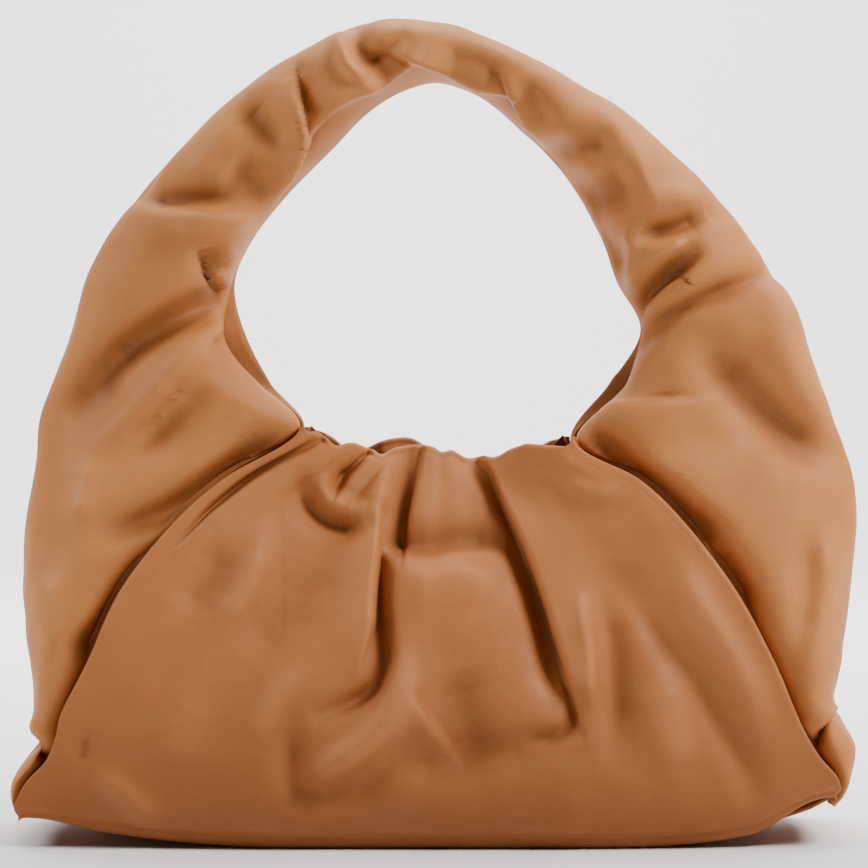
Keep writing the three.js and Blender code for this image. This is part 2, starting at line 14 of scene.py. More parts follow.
import bpy
import numpy as np
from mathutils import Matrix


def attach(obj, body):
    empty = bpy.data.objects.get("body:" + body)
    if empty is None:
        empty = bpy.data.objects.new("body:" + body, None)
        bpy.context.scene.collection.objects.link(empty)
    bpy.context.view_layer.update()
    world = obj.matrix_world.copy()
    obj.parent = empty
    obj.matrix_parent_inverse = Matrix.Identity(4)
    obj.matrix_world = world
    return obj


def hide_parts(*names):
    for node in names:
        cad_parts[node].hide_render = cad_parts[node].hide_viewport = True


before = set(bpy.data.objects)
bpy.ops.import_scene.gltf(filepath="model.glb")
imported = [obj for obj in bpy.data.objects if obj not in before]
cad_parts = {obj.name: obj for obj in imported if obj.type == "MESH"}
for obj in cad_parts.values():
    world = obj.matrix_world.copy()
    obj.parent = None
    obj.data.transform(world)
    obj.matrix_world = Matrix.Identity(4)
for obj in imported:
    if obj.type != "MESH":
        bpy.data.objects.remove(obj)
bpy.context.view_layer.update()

LOG = logging.getLogger("shoulder_bag")
MILLIMETRE = 0.001


class Facing(Enum):
    """Which way a panel of the pouch looks."""

    FRONT = -1.0
    BACK = 1.0


class FoldKind(Enum):
    """Profile of a fold across its line."""

    SOFT = "rounded ridge or valley"
    CREASE = "narrow line with straight sides"
    PLEAT = "step with a lip on one side and a hollow on the other"


# Smooth curves


def along_rows(column: np.ndarray, spot: np.ndarray) -> np.ndarray:
    """Smooth curve through evenly numbered rows: a cubic through each row and its neighbours.

    Args:
        column: the rows' values.
        spot: row numbers, with parts of a row.

    Returns:
        The value at each spot.
    """
    last = len(column) - 1
    held = np.clip(spot, 0, last)
    low = np.minimum(last - 1, np.floor(held).astype(int))
    part = held - low
    ends = ([2 * column[0] - column[1]], column, [2 * column[-1] - column[-2]])
    padded = np.concatenate(ends)
    p0, p1, p2, p3 = (padded[low + k] for k in range(4))
    line = 2 * p1 + (p2 - p0) * part
    bend = (2 * p0 - 5 * p1 + 4 * p2 - p3) * part**2
    turn = (3 * p1 - p0 - 3 * p2 + p3) * part**3
    return 0.5 * (line + bend + turn)


def through_rows(table: np.ndarray, place: np.ndarray) -> np.ndarray:
    """Smooth curve through rows of place and value.

    Args:
        table: rows of place and value, places rising.
        place: places to read.

    Returns:
        The value at each place.
    """
    keys = table[:, 0]
    low = np.clip(np.searchsorted(keys, place, side="right") - 1, 0, len(keys) - 2)
    share = np.clip((place - keys[low]) / (keys[low + 1] - keys[low]), 0, 1)
    return along_rows(table[:, 1], low + share)


def smooth(edge0: float, edge1: float, value: np.ndarray) -> np.ndarray:
    """Soft step from 0 at the first edge to 1 at the second: three shares squared less two cubed."""
    share = np.clip((value - edge0) / (edge1 - edge0), 0, 1)
    return share * share * (3 - 2 * share)


def inside(edge: float, across: np.ndarray) -> np.ndarray:
    """Soft rise from 0 at both ends of 0 to 1 to the full value 1 within the edge's width."""
    return smooth(0, edge, across) * smooth(0, edge, 1 - across)


def blend(first: np.ndarray, second: np.ndarray, share: np.ndarray) -> np.ndarray:
    """Straight mix of two values."""
    return first + (second - first) * share


def undulation(points: np.ndarray, size: float, seed: int) -> np.ndarray:
    """Slow random swell: the mean of nine plane waves of about one length in random directions.

    Args:
        points: places in millimetres, last axis x, y, z.
        size: wave length in millimetres.
        seed: number that picks the waves.

    Returns:
        Values of about -1 to 1.
    """
    rng = np.random.default_rng(seed)
    ways = rng.normal(size=(9, 3))
    ways /= np.linalg.norm(ways, axis=1, keepdims=True)
    lengths = size * rng.uniform(0.7, 1.5, size=9)
    phases = rng.uniform(0, 2 * math.pi, size=9)
    waves = np.sin(points @ (ways / lengths[:, None]).T * 2 * math.pi + phases)
    return waves.mean(axis=-1) * 2.2


# Front view and folds


@dataclass(frozen=True)
class FrontView:
    """Grid of the front view: 868 steps across and down, as the camera sees the bag.

    A point's place across is the middle plus x over the step, and its place down is the
    middle less its height over the step, both made larger as the point comes nearer.
    """

    reach: float = 1500.0
    lens_height: float = 192.3
    step: float = 0.484
    middle_across: float = 433.5
    middle_down: float = 434.0

    def seen(self, points: np.ndarray, facing: Facing) -> np.ndarray:
        """Grid places of points, for the back as if seen through the bag.

        Args:
            points: places in millimetres.
            facing: side that the points are looked at from.

        Returns:
            Across and down for each point.
        """
        nearness = self.reach / (self.reach - facing.value * points[..., 1])
        across = self.middle_across + points[..., 0] * nearness / self.step
        down = self.middle_down - (points[..., 2] - self.lens_height) * nearness / self.step
        return np.stack((across, down), -1)


VIEW = FrontView()

# Gain on the lift and the draw of every fold in the tables
FOLD_DEPTH = 2.0
# Share of the surface's normal in the direction in which folds stand out
NORMAL_SHARE = 0.3
# Depth of a pleat's hollow as a share of its lift
PLEAT_HOLLOW = 0.6
# Draw of a pleat's lip over its hollow as a share of its lift
PLEAT_DRAW = 0.4
# Length of a fold's fade past its two ends, in widths
END_FADE = 0.7
# Distance from its path up to which a fold is worked out, in widths
FOLD_REACH = 3.4


@dataclass(frozen=True)
class Fold:
    """One fold of the leather, a curved line in front view.

    lift is its height in millimetres, below 0 for a hollow. before is its width on the left
    or upper side and after on the right or lower side, in millimetres. In a pleat the side
    before stands up by the lift and the side after lies low. ends are the shares of the lift
    at the two ends of the path, and crisp rounds a crease's line or a pleat's step.
    """

    kind: FoldKind
    lift: float
    before: float
    after: float
    path: tuple[tuple[float, float], ...]
    ends: tuple[float, float] = (0.25, 0.25)
    crisp: float = 1.0

    def line(self) -> np.ndarray:
        """Path as a smooth line of short pieces, six for each stretch between two points.

        Returns:
            Rows of across and down.
        """
        points = np.array(self.path, float)
        spots = np.linspace(0, len(points) - 1, 6 * (len(points) - 1) + 1)
        return np.stack([along_rows(points[:, k], spots) for k in range(2)], -1)

    def side_sign(self) -> float:
        """Side of the path that counts as after it.

        Returns:
            Sign that makes distances on the right or lower side positive.
        """
        across, down = np.subtract(self.path[-1], self.path[0])
        if abs(down) >= abs(across):
            return -1.0 if down > 0 else 1.0
        return 1.0 if across > 0 else -1.0

    def profile(self, off: np.ndarray) -> np.ndarray:
        """Height across the fold at signed distances from its line, for a lift of 1.

        Soft: e to the minus square of distance over width. Crease: e to the minus distance
        over width, rounded at the line. Pleat: the high side falls away slowly from a lip,
        and the low side rises slowly from a hollow.

        Args:
            off: distances in millimetres, above 0 on the right or lower side.

        Returns:
            Height at each distance.
        """
        width = np.where(off < 0, self.before, self.after)
        if self.kind is FoldKind.SOFT:
            return np.exp(-((off / width) ** 2))
        if self.kind is FoldKind.CREASE:
            rounded = np.sqrt(off**2 + self.crisp**2) - self.crisp
            return np.exp(-rounded / width)
        step = np.tanh(off / self.crisp)
        high = 0.5 * (1 - step) * np.exp(-np.maximum(-off, 0) / self.before)
        low = 0.5 * (1 + step) * np.exp(-np.maximum(off, 0) / self.after)
        return high - PLEAT_HOLLOW * low

    def relief(self, spots: np.ndarray) -> tuple[np.ndarray, np.ndarray]:
        """Height and sideways draw of the leather at places in front view.

        Args:
            spots: rows of across and down.

        Returns:
            Height in millimetres, and the draw across and down in millimetres.
        """
        line = self.line()
        start, run = line[:-1], np.diff(line, axis=0)
        length = np.linalg.norm(run, axis=1)
        away = spots[:, None, :] - start[None]
        share = np.clip((away * run).sum(-1) / length**2, 0, 1)
        gap = away - share[..., None] * run
        nearest = np.argmin((gap**2).sum(-1), axis=1)
        pick = np.arange(len(spots))
        far = np.sqrt((gap[pick, nearest] ** 2).sum(-1)) * VIEW.step
        way = run[nearest] / length[nearest, None]
        offset = away[pick, nearest]
        cross = way[:, 0] * offset[:, 1] - way[:, 1] * offset[:, 0]
        off = cross * self.side_sign() * VIEW.step
        beyond = np.sqrt(np.maximum(far**2 - off**2, 0))
        place = (nearest + share[pick, nearest]) / len(run)
        rise = np.interp(place, (0, 0.25, 0.75, 1), (self.ends[0], 1, 1, self.ends[1]))
        hold = rise * np.exp(-((beyond / (END_FADE * max(self.before, self.after))) ** 2))
        height = self.lift * hold * self.profile(off)
        draw = np.zeros((len(spots), 2))
        if self.kind is FoldKind.PLEAT:
            lip = np.where(off * self.lift < 0, self.before, self.after) * 0.5
            pull = PLEAT_DRAW * abs(self.lift) * hold * np.exp(-((off / lip) ** 2))
            normal = np.stack((-way[:, 1], way[:, 0]), -1) * self.side_sign()
            draw = normal * (pull * np.sign(self.lift))[:, None]
        return height, draw


def fold_relief(folds: tuple[Fold, ...], seen: np.ndarray) -> tuple[np.ndarray, np.ndarray]:
    """Sum of all folds at places in front view.

    Args:
        folds: the table of folds.
        seen: grid of places, last axis across and down.

    Returns:
        Height and sideways draw on the same grid, in millimetres.
    """
    spots = seen.reshape(-1, 2)
    height = np.zeros(len(spots))
    draw = np.zeros((len(spots), 2))
    for fold in folds:
        path = np.array(fold.path)
        reach = FOLD_REACH * max(fold.before, fold.after) / VIEW.step
        near = ((spots > path.min(0) - reach) & (spots < path.max(0) + reach)).all(axis=1)
        rise, pull = fold.relief(spots[near])
        height[near] += rise
        draw[near] += pull
    height, draw = height * FOLD_DEPTH, draw * FOLD_DEPTH
    return height.reshape(seen.shape[:-1]), draw.reshape(seen.shape)


SOFT, CREASE, PLEAT = FoldKind.SOFT, FoldKind.CREASE, FoldKind.PLEAT

# Gathers of the front panel, from left to right
FRONT_FOLDS = (
    Fold(PLEAT, -4.6, 7, 16, (
        (330, 442), (303, 457), (280, 470), (250, 491), (205, 526), (172, 551),
    ), (0.7, 0.2), 1.2),
    Fold(SOFT, 2.4, 7, 8, ((265, 535), (250, 570), (235, 600), (215, 624))),
    Fold(SOFT, -2.2, 9, 9, ((222, 545), (203, 580), (180, 612))),
    Fold(SOFT, -2.0, 16, 16, ((305, 560), (285, 615), (245, 660))),
    Fold(SOFT, 2.0, 10, 10, ((302, 655), (275, 700), (262, 752))),
    Fold(SOFT, 1.6, 12, 12, ((205, 690), (185, 730), (178, 770))),
    Fold(CREASE, -1.6, 2.5, 2.5, ((86, 733), (83, 748), (79, 762))),
    Fold(SOFT, 1.8, 6, 6, ((92, 768), (128, 798), (152, 822))),
    Fold(PLEAT, -4.4, 5, 9, ((380, 450), (366, 463), (353, 477), (344, 488)), (0.7, 0.5), 0.7),
    Fold(SOFT, -2.6, 4, 4, ((352, 470), (340, 479), (336, 488)), (0.3, 0.8)),
    Fold(SOFT, 2.0, 5, 5, ((318, 474), (326, 498), (344, 508), (366, 508))),
    Fold(SOFT, -3.8, 6, 6, ((300, 474), (306, 500), (322, 519), (344, 528), (362, 522))),
    Fold(SOFT, 2.6, 8, 6, ((388, 446), (384, 480), (378, 515))),
    Fold(PLEAT, 4.4, 11, 7, (
        (376, 520), (371, 555), (368, 590), (366, 620), (361, 660),
    ), (0.6, 0.3), 1.2),
    Fold(PLEAT, -3.0, 7, 12, ((427, 444), (421, 478), (415, 508), (407, 545)), (0.9, 0.5), 0.8),
    Fold(SOFT, -3.2, 8, 6, ((408, 440), (405, 480), (403, 510), (401, 540)), (0.9, 0.9)),
    Fold(SOFT, -4.0, 9, 6, ((398, 548), (430, 545), (470, 540), (508, 545)), (0.6, 0.3)),
    Fold(SOFT, 2.0, 7, 14, ((392, 575), (430, 580), (470, 578), (500, 588))),
    Fold(SOFT, -4.6, 5, 5, (
        (379, 562), (376, 600), (380, 640), (381, 665), (370, 690), (345, 706), (318, 716),
    ), (0.6, 0.3)),
    Fold(SOFT, 3.4, 7, 9, (
        (404, 640), (403, 670), (396, 696), (382, 722), (357, 746), (328, 764), (302, 774),
    )),
    Fold(SOFT, -2.4, 8, 9, (
        (290, 690), (286, 740), (298, 783), (325, 796), (370, 776), (404, 738),
    ), (0.1, 0.1)),
    Fold(PLEAT, 2.6, 7, 7, ((412, 700), (430, 728), (454, 760)), (0.3, 0.2), 1.6),
    Fold(SOFT, -3.6, 15, 15, ((452, 670), (464, 715), (474, 770))),
    Fold(SOFT, -3.0, 10, 12, ((395, 755), (440, 765), (500, 752), (560, 750)), (0.2, 0.2)),
    Fold(PLEAT, -6.0, 9, 18, (
        (468, 440), (481, 453), (493, 464), (503, 480), (514, 503), (525, 527), (536, 552),
        (548, 584), (559, 618), (568, 652), (576, 684), (579, 702),
    ), (0.9, 0.4), 0.8),
    Fold(SOFT, -3.4, 8, 8, ((512, 535), (530, 575), (543, 615), (551, 660), (556, 700))),
    Fold(SOFT, -2.8, 5, 5, ((581, 692), (576, 718), (556, 736), (520, 738)), (0.6, 0.1)),
    Fold(SOFT, 2.0, 4, 4, ((578, 600), (587, 650), (590, 700)), (0.4, 0.3)),
    Fold(SOFT, -3.6, 8, 11, ((604, 590), (610, 645), (614, 700), (616, 760))),
    Fold(SOFT, -2.6, 8, 8, (
        (612, 572), (640, 604), (665, 641), (698, 686), (722, 724), (742, 764), (757, 805),
    )),
    Fold(SOFT, 2.6, 11, 11, ((672, 566), (700, 612), (740, 662), (772, 722))),
    Fold(SOFT, 1.8, 12, 12, ((660, 668), (672, 720), (684, 770))),
    Fold(SOFT, -1.6, 3, 3, ((578, 455), (592, 458), (608, 464)), (0.5, 0.3)),
    Fold(SOFT, 1.4, 5, 5, ((560, 478), (590, 490), (620, 495))),
)

BACK_FOLDS = (
    Fold(SOFT, -4.0, 11, 13, ((330, 450), (280, 520), (225, 600), (190, 660))),
    Fold(PLEAT, 3.6, 12, 10, ((372, 452), (362, 520), (352, 590), (346, 650)), (0.7, 0.2), 1.8),
    Fold(SOFT, -3.0, 9, 9, ((420, 452), (424, 520), (418, 600), (405, 660))),
    Fold(PLEAT, -4.2, 10, 13, ((462, 452), (478, 520), (492, 590), (500, 660)), (0.7, 0.2), 1.5),
    Fold(SOFT, -3.6, 10, 12, ((540, 450), (590, 530), (640, 610), (672, 690))),
    Fold(SOFT, 2.4, 12, 12, ((590, 470), (660, 560), (720, 650))),
    Fold(SOFT, 2.0, 12, 12, ((300, 520), (240, 620), (215, 720))),
    Fold(SOFT, -2.2, 12, 12, ((330, 700), (400, 730), (480, 715), (560, 740))),
)

# Folds of the band in front view: left side and strap, top, right side
BAND_FRONT_FOLDS = (
    Fold(PLEAT, -3.6, 4, 8, ((34, 728), (42, 746), (49, 761)), (0.8, 0.5), 0.7),
    Fold(SOFT, -3.4, 3.5, 3.5, ((36, 740), (42, 750), (48, 758)), (0.6, 0.8)),
    Fold(PLEAT, 3.6, 8, 5, ((829, 715), (815, 735), (805, 751)), (0.8, 0.5), 0.7),
    Fold(SOFT, -4.0, 4, 4, ((824, 722), (814, 737), (806, 748)), (0.5, 0.9)),
    Fold(SOFT, -4.6, 8, 8, ((274, 428), (242, 455), (205, 488), (168, 508), (122, 526), (92, 536))),
    Fold(SOFT, -4.0, 6, 8, ((142, 552), (118, 596), (95, 632), (62, 650))),
    Fold(SOFT, 2.0, 7, 7, ((92, 455), (84, 490), (76, 525))),
    Fold(SOFT, 2.0, 9, 9, ((44, 570), (46, 610), (52, 660))),
    Fold(SOFT, -4.4, 9, 5, ((142, 196), (180, 199), (240, 203)), (0.4, 0.3)),
    Fold(SOFT, 2.8, 6, 8, ((160, 219), (215, 217), (266, 214))),
    Fold(SOFT, -4.6, 5, 5, ((210, 250), (216, 262), (224, 272)), (0.9, 0.5)),
    Fold(PLEAT, -4.2, 5, 10, ((208, 258), (216, 272), (228, 285), (240, 302)), (0.6, 0.3), 0.8),
    Fold(SOFT, -6.6, 11, 8, (
        (232, 302), (200, 310), (165, 326), (120, 356), (85, 392),
    ), (0.5, 0.3)),
    Fold(SOFT, 5.0, 8, 8, ((238, 318), (212, 332), (188, 354), (160, 387), (130, 417), (97, 442))),
    Fold(SOFT, -3.0, 11, 11, ((124, 374), (90, 398), (57, 420))),
    Fold(SOFT, -4.4, 4, 4, ((208, 348), (222, 342), (240, 336)), (0.5, 0.8)),
    Fold(SOFT, -2.4, 9, 9, ((200, 370), (165, 412), (130, 460))),
    Fold(SOFT, -4.4, 7, 5, ((640, 234), (674, 228), (708, 212)), (0.3, 0.5)),
    Fold(SOFT, 2.0, 7, 6, ((640, 200), (670, 195), (702, 197))),
    Fold(SOFT, 3.0, 4, 4, ((632, 225), (630, 260), (631, 298))),
    Fold(SOFT, 2.4, 4, 4, ((644, 262), (666, 250), (688, 238))),
    Fold(SOFT, -4.6, 8, 6, ((636, 308), (654, 290), (672, 272), (690, 254)), (0.6, 0.5)),
    Fold(PLEAT, -3.4, 6, 6, (
        (636, 328), (650, 308), (668, 292), (684, 282), (696, 264),
    ), (0.6, 0.3), 1.2),
    Fold(SOFT, -4.4, 6, 6, (
        (640, 340), (662, 320), (688, 304), (722, 290), (766, 274),
    ), (0.6, 0.6)),
    Fold(SOFT, 2.8, 10, 10, (
        (780, 268), (787, 300), (788, 345), (800, 380), (822, 415), (845, 450),
    )),
    Fold(SOFT, -5.0, 13, 12, ((700, 340), (740, 385), (785, 428), (836, 462))),
    Fold(PLEAT, -2.6, 6, 9, ((603, 402), (640, 404), (692, 400)), (0.5, 0.2), 1.0),
    Fold(SOFT, -4.6, 7, 8, ((584, 428), (612, 446), (648, 482), (700, 524), (722, 534))),
    Fold(SOFT, 3.0, 3.5, 4, ((344, 30), (342, 52), (352, 70), (377, 80))),
    Fold(SOFT, -3.6, 6, 8, ((352, 30), (362, 54), (380, 72)), (0.8, 0.4)),
    Fold(SOFT, -2.0, 4, 6, ((402, 40), (386, 52), (368, 62)), (0.6, 0.3)),
    Fold(PLEAT, 3.6, 8, 9, (
        (290, 172), (299, 150), (310, 128), (330, 106), (355, 92), (380, 84), (402, 70),
    ), (0.2, 0.6), 0.8),
    Fold(PLEAT, 3.4, 8, 7, (
        (402, 54), (422, 62), (442, 70), (462, 80), (484, 90), (514, 98),
    ), (0.8, 0.4), 0.7),
    Fold(PLEAT, -3.6, 7, 7, (
        (502, 72), (510, 90), (516, 106), (526, 126), (536, 142),
    ), (0.3, 0.5), 0.7),
    Fold(PLEAT, 3.6, 8, 7, (
        (292, 74), (294, 100), (298, 124), (297, 150), (288, 176), (280, 196),
    ), (0.3, 0.5), 0.8),
    Fold(SOFT, -2.4, 6, 8, ((296, 76), (304, 98), (314, 118)), (0.5, 0.2)),
    Fold(SOFT, -4.0, 10, 12, ((240, 98), (264, 122), (296, 146)), (0.2, 0.4)),
    Fold(SOFT, -3.4, 10, 11, ((226, 164), (250, 180), (280, 198)), (0.2, 0.4)),
    Fold(SOFT, -3.6, 9, 9, ((430, 56), (474, 62), (508, 84))),
    Fold(SOFT, -3.4, 8, 8, ((514, 80), (530, 104), (548, 134)), (0.2, 0.2)),
    Fold(SOFT, -3.4, 8, 7, ((548, 160), (580, 146), (618, 140))),
    Fold(SOFT, -4.2, 11, 11, ((568, 214), (600, 196), (645, 180)), (0.4, 0.2)),
    Fold(SOFT, -3.6, 11, 11, ((584, 244), (604, 256), (622, 276)), (0.4, 0.2)),
    Fold(SOFT, 2.2, 8, 8, ((600, 120), (634, 160), (648, 205))),
    Fold(SOFT, -3.4, 9, 9, ((712, 545), (730, 575), (748, 612))),
    Fold(SOFT, 1.8, 7, 7, ((828, 520), (824, 600), (812, 680))),
    Fold(SOFT, -2.0, 7, 7, ((806, 530), (808, 590), (800, 650))),
)

BAND_BACK_FOLDS = (
    Fold(SOFT, -3.4, 10, 10, ((132, 250), (185, 262), (238, 252))),
    Fold(PLEAT, -3.6, 10, 9, ((78, 396), (150, 384), (232, 396)), (0.3, 0.3), 1.6),
    Fold(SOFT, -3.0, 11, 11, ((70, 480), (140, 500), (205, 486))),
    Fold(SOFT, -3.2, 10, 10, ((606, 262), (680, 270), (752, 250))),
    Fold(PLEAT, -3.4, 10, 9, ((612, 372), (700, 388), (796, 372)), (0.3, 0.3), 1.6),
    Fold(SOFT, -3.0, 11, 11, ((650, 470), (730, 490), (822, 470))),
    Fold(SOFT, -2.8, 9, 9, ((300, 60), (360, 74), (430, 60))),
    Fold(SOFT, -2.8, 9, 9, ((470, 60), (520, 86), (580, 84))),
)


# Sheets of leather


@dataclass
class LeatherSheet:
    """Closed sheet of leather from an outer skin and an inner skin of half as many cells."""

    name: str
    outer: np.ndarray
    inner: np.ndarray
    fold: np.ndarray
    flip: bool = False

    def edge_cells(self) -> np.ndarray:
        """Five-cornered cells that close the sheet round its edge.

        Each joins two neighbouring edges of the outer skin to one edge of the inner skin.

        Returns:
            Corner numbers, one row a cell.
        """
        rows, columns = self.outer.shape[:2]
        half_columns = self.inner.shape[1]
        fine = np.arange(rows * columns).reshape(rows, columns)
        coarse = np.arange(self.inner.shape[0] * half_columns) + rows * columns
        coarse = coarse.reshape(self.inner.shape[:2])
        loops = (
            (fine[0], coarse[0], False),
            (fine[-1], coarse[-1], True),
            (fine[:, 0], coarse[:, 0], True),
            (fine[:, -1], coarse[:, -1], False),
        )
        cells = []
        for thin, thick, reverse in loops:
            cell = np.stack((thin[0:-2:2], thick[:-1], thick[1:], thin[2::2], thin[1:-1:2]), -1)
            cells.append(cell[:, ::-1] if reverse else cell)
        return np.concatenate(cells)

    def build(self) -> bpy.types.Object:
        """Puts the sheet into a mesh, with its fold heights as a point attribute.

        Returns:
            The new object, outer skin in the first material place and inner in the second.
        """
        outer_cells = grid_cells(self.outer.shape, 0)
        shift = self.outer.shape[0] * self.outer.shape[1]
        inner_cells = grid_cells(self.inner.shape, shift)[:, ::-1]
        edge_cells = self.edge_cells()
        cells = [outer_cells, inner_cells, edge_cells]
        if self.flip:
            cells = [cell[:, ::-1] for cell in cells]
        points = np.concatenate((self.outer.reshape(-1, 3), self.inner.reshape(-1, 3)))
        faces = [face for cell in cells for face in cell.tolist()]
        mesh = bpy.data.meshes.new(self.name)
        mesh.from_pydata((points * MILLIMETRE).tolist(), [], faces)
        kinds = np.repeat((0, 1, 0), [len(cell) for cell in cells])
        mesh.polygons.foreach_set("material_index", kinds.astype(np.int32))
        mesh.polygons.foreach_set("use_smooth", np.ones(len(faces), bool))
        # the fold heights go to the finish as the mask for painted shade in the hollows and a painted
        # highlight on the crests
        height = np.concatenate((self.fold.ravel(), self.fold[::2, ::2].ravel()))
        layer = mesh.attributes.new("fold_height", "FLOAT", "POINT")
        layer.data.foreach_set("value", height.astype(np.float32))
        mesh.update()
        mesh.validate()
        piece = bpy.data.objects.new(self.name, mesh)
        bpy.context.scene.collection.objects.link(piece)
        return piece


def grid_cells(shape: tuple[int, ...], shift: int) -> np.ndarray:
    """Four-cornered cells of a grid of points.

    Args:
        shape: rows and columns of the grid.
        shift: number of the grid's first point.

    Returns:
        Corner numbers, one row a cell.
    """
    number = np.arange(shape[0] * shape[1]).reshape(shape[:2]) + shift
    corners = (number[:-1, :-1], number[:-1, 1:], number[1:, 1:], number[1:, :-1])
    return np.stack(corners, -1).reshape(-1, 4)


def surface_normals(points: np.ndarray, outward: np.ndarray) -> np.ndarray:
    """Unit normals of a grid: the cross product of its row and column directions.

    Args:
        points: grid of places.
        outward: rough outward direction at each place.

    Returns:
        Normals on the same grid, on the outward side.
    """
    normal = np.cross(np.gradient(points, axis=0), np.gradient(points, axis=1))
    normal /= np.linalg.norm(normal, axis=-1, keepdims=True) + 1e-9
    sign = np.sign((normal * outward).sum(-1, keepdims=True))
    return normal * np.where(sign == 0, 1, sign)


def fold_direction(normal: np.ndarray, outward: np.ndarray) -> np.ndarray:
    """Direction in which folds stand out: mostly towards the viewer, partly along the normal."""
    way = NORMAL_SHARE * normal + (1 - NORMAL_SHARE) * outward
    return way / np.linalg.norm(way, axis=-1, keepdims=True)


# Sizes of the bag


@dataclass(frozen=True)
class BagSizes:
    """Overall sizes and edge sizes of the bag, in millimetres."""

    width: float = 410.0
    height: float = 392.0
    side_depth: float = 130.0
    wall: float = 2.0
    seam_gap: float = 0.5
    edge_roll: float = 5.0
    edge_flange: float = 7.0
    panel_lip: float = 3.0
    panel_roll: float = 2.4
    foot_roll: float = 2.4
    foot_flange: float = 1.5
    tube_flange: float = 1.5
    wrap_radius: float = 5.0
    rim_roll: float = 2.6
    rim_return: float = 4.0
    rim_lean: float = 2.0
    corner_step: float = 0.6
    base_gap: float = 1.0
    base_tuck: float = 5.5
    tube_turn: float = 0.42
    band_tuck: float = 7.0
    corner_spread: float = 3.5
    corner_run: float = 0.1
    corner_lift: tuple[float, float] = (0.0, 4.0)
    base_lift: tuple[float, float] = (0.042, 0.074)
    base_power: tuple[float, float] = (2.0, 3.2)
    base_flat_half: float = 0.3

    @property
    def half_width(self) -> float:
        """Half of the overall width."""
        return self.width / 2

    @property
    def half_side(self) -> float:
        """Half of the depth of the sides."""
        return self.side_depth / 2

    def sole_height(self, x: np.ndarray) -> np.ndarray:
        """Lift of the sole above the ground: a power of the way out to each end.

        Args:
            x: places across the bag.

        Returns:
            Height at each place.
        """
        spare = np.abs(x) / self.half_width - self.base_flat_half
        share = np.maximum(0, spare / (1 - self.base_flat_half))
        power = np.where(x < 0, *self.base_power)
        return np.where(x < 0, *self.base_lift) * self.height * share**power


# Sections of the band from the left foot over the top to the right foot: across and height of
# the outer edge, across and height of the inner edge, depth, and 0 for a channel or 1 for a tube
BAND_ROWS = np.array(
    (
        (-0.95, 0.026, -0.928, 0.036, 0.88, 0),
        (-0.972, 0.043, -0.943, 0.05, 0.92, 0),
        (-0.984, 0.069, -0.925, 0.077, 0.95, 0),
        (-0.956, 0.094, -0.878, 0.105, 0.97, 0),
        (-0.922, 0.12, -0.857, 0.133, 0.97, 0),
        (-0.93, 0.151, -0.842, 0.163, 0.98, 0),
        (-0.947, 0.214, -0.785, 0.222, 0.98, 0),
        (-0.965, 0.304, -0.712, 0.306, 0.92, 0),
        (-0.963, 0.385, -0.595, 0.385, 0.82, 0),
        (-0.944, 0.441, -0.478, 0.439, 0.71, 0),
        (-0.932, 0.5, -0.312, 0.495, 0.61, 0.1),
        (-0.898, 0.556, -0.388, 0.554, 0.56, 0.7),
        (-0.854, 0.62, -0.446, 0.617, 0.57, 1),
        (-0.815, 0.686, -0.47, 0.676, 0.59, 1),
        (-0.727, 0.763, -0.425, 0.732, 0.6, 1),
        (-0.6, 0.841, -0.346, 0.785, 0.59, 1),
        (-0.444, 0.918, -0.243, 0.843, 0.58, 1),
        (-0.284, 0.97, -0.143, 0.892, 0.57, 1),
        (-0.16, 0.996, -0.049, 0.918, 0.56, 1),
        (0.018, 0.995, 0.028, 0.924, 0.56, 1),
        (0.185, 0.966, 0.13, 0.9, 0.56, 1),
        (0.351, 0.918, 0.228, 0.856, 0.57, 1),
        (0.527, 0.853, 0.319, 0.802, 0.58, 1),
        (0.695, 0.763, 0.389, 0.74, 0.6, 1),
        (0.806, 0.679, 0.431, 0.678, 0.59, 1),
        (0.864, 0.61, 0.488, 0.62, 0.57, 1),
        (0.912, 0.543, 0.42, 0.556, 0.56, 0.7),
        (0.961, 0.482, 0.327, 0.483, 0.61, 0.1),
        (0.99, 0.434, 0.473, 0.436, 0.71, 0),
        (0.995, 0.383, 0.576, 0.383, 0.82, 0),
        (0.98, 0.304, 0.688, 0.304, 0.92, 0),
        (0.956, 0.222, 0.771, 0.222, 0.98, 0),
        (0.93, 0.165, 0.815, 0.168, 0.98, 0),
        (0.958, 0.14, 0.839, 0.14, 0.97, 0),
        (0.985, 0.11, 0.873, 0.11, 0.97, 0),
        (0.967, 0.073, 0.912, 0.084, 0.95, 0),
        (0.946, 0.052, 0.914, 0.064, 0.92, 0),
        (0.927, 0.04, 0.898, 0.051, 0.88, 0),
    )
)
LEFT_MOUTH_ROW = 10
RIGHT_MOUTH_ROW = 27
LAST_ROW = len(BAND_ROWS) - 1

# Half depth of the panels on their middle line, from base to rim, in half side depths
BULGE_ROWS = np.array(
    (
        (0, 1.03),
        (0.15, 1.12),
        (0.35, 1.19),
        (0.5, 1.18),
        (0.6, 1.1),
        (0.7, 0.9),
        (0.8, 0.66),
        (0.9, 0.44),
        (1, 0.277),
    )
)
# Share of a panel's width over which its depth grows from the seam to the bulge
BULGE_EDGE = 0.34

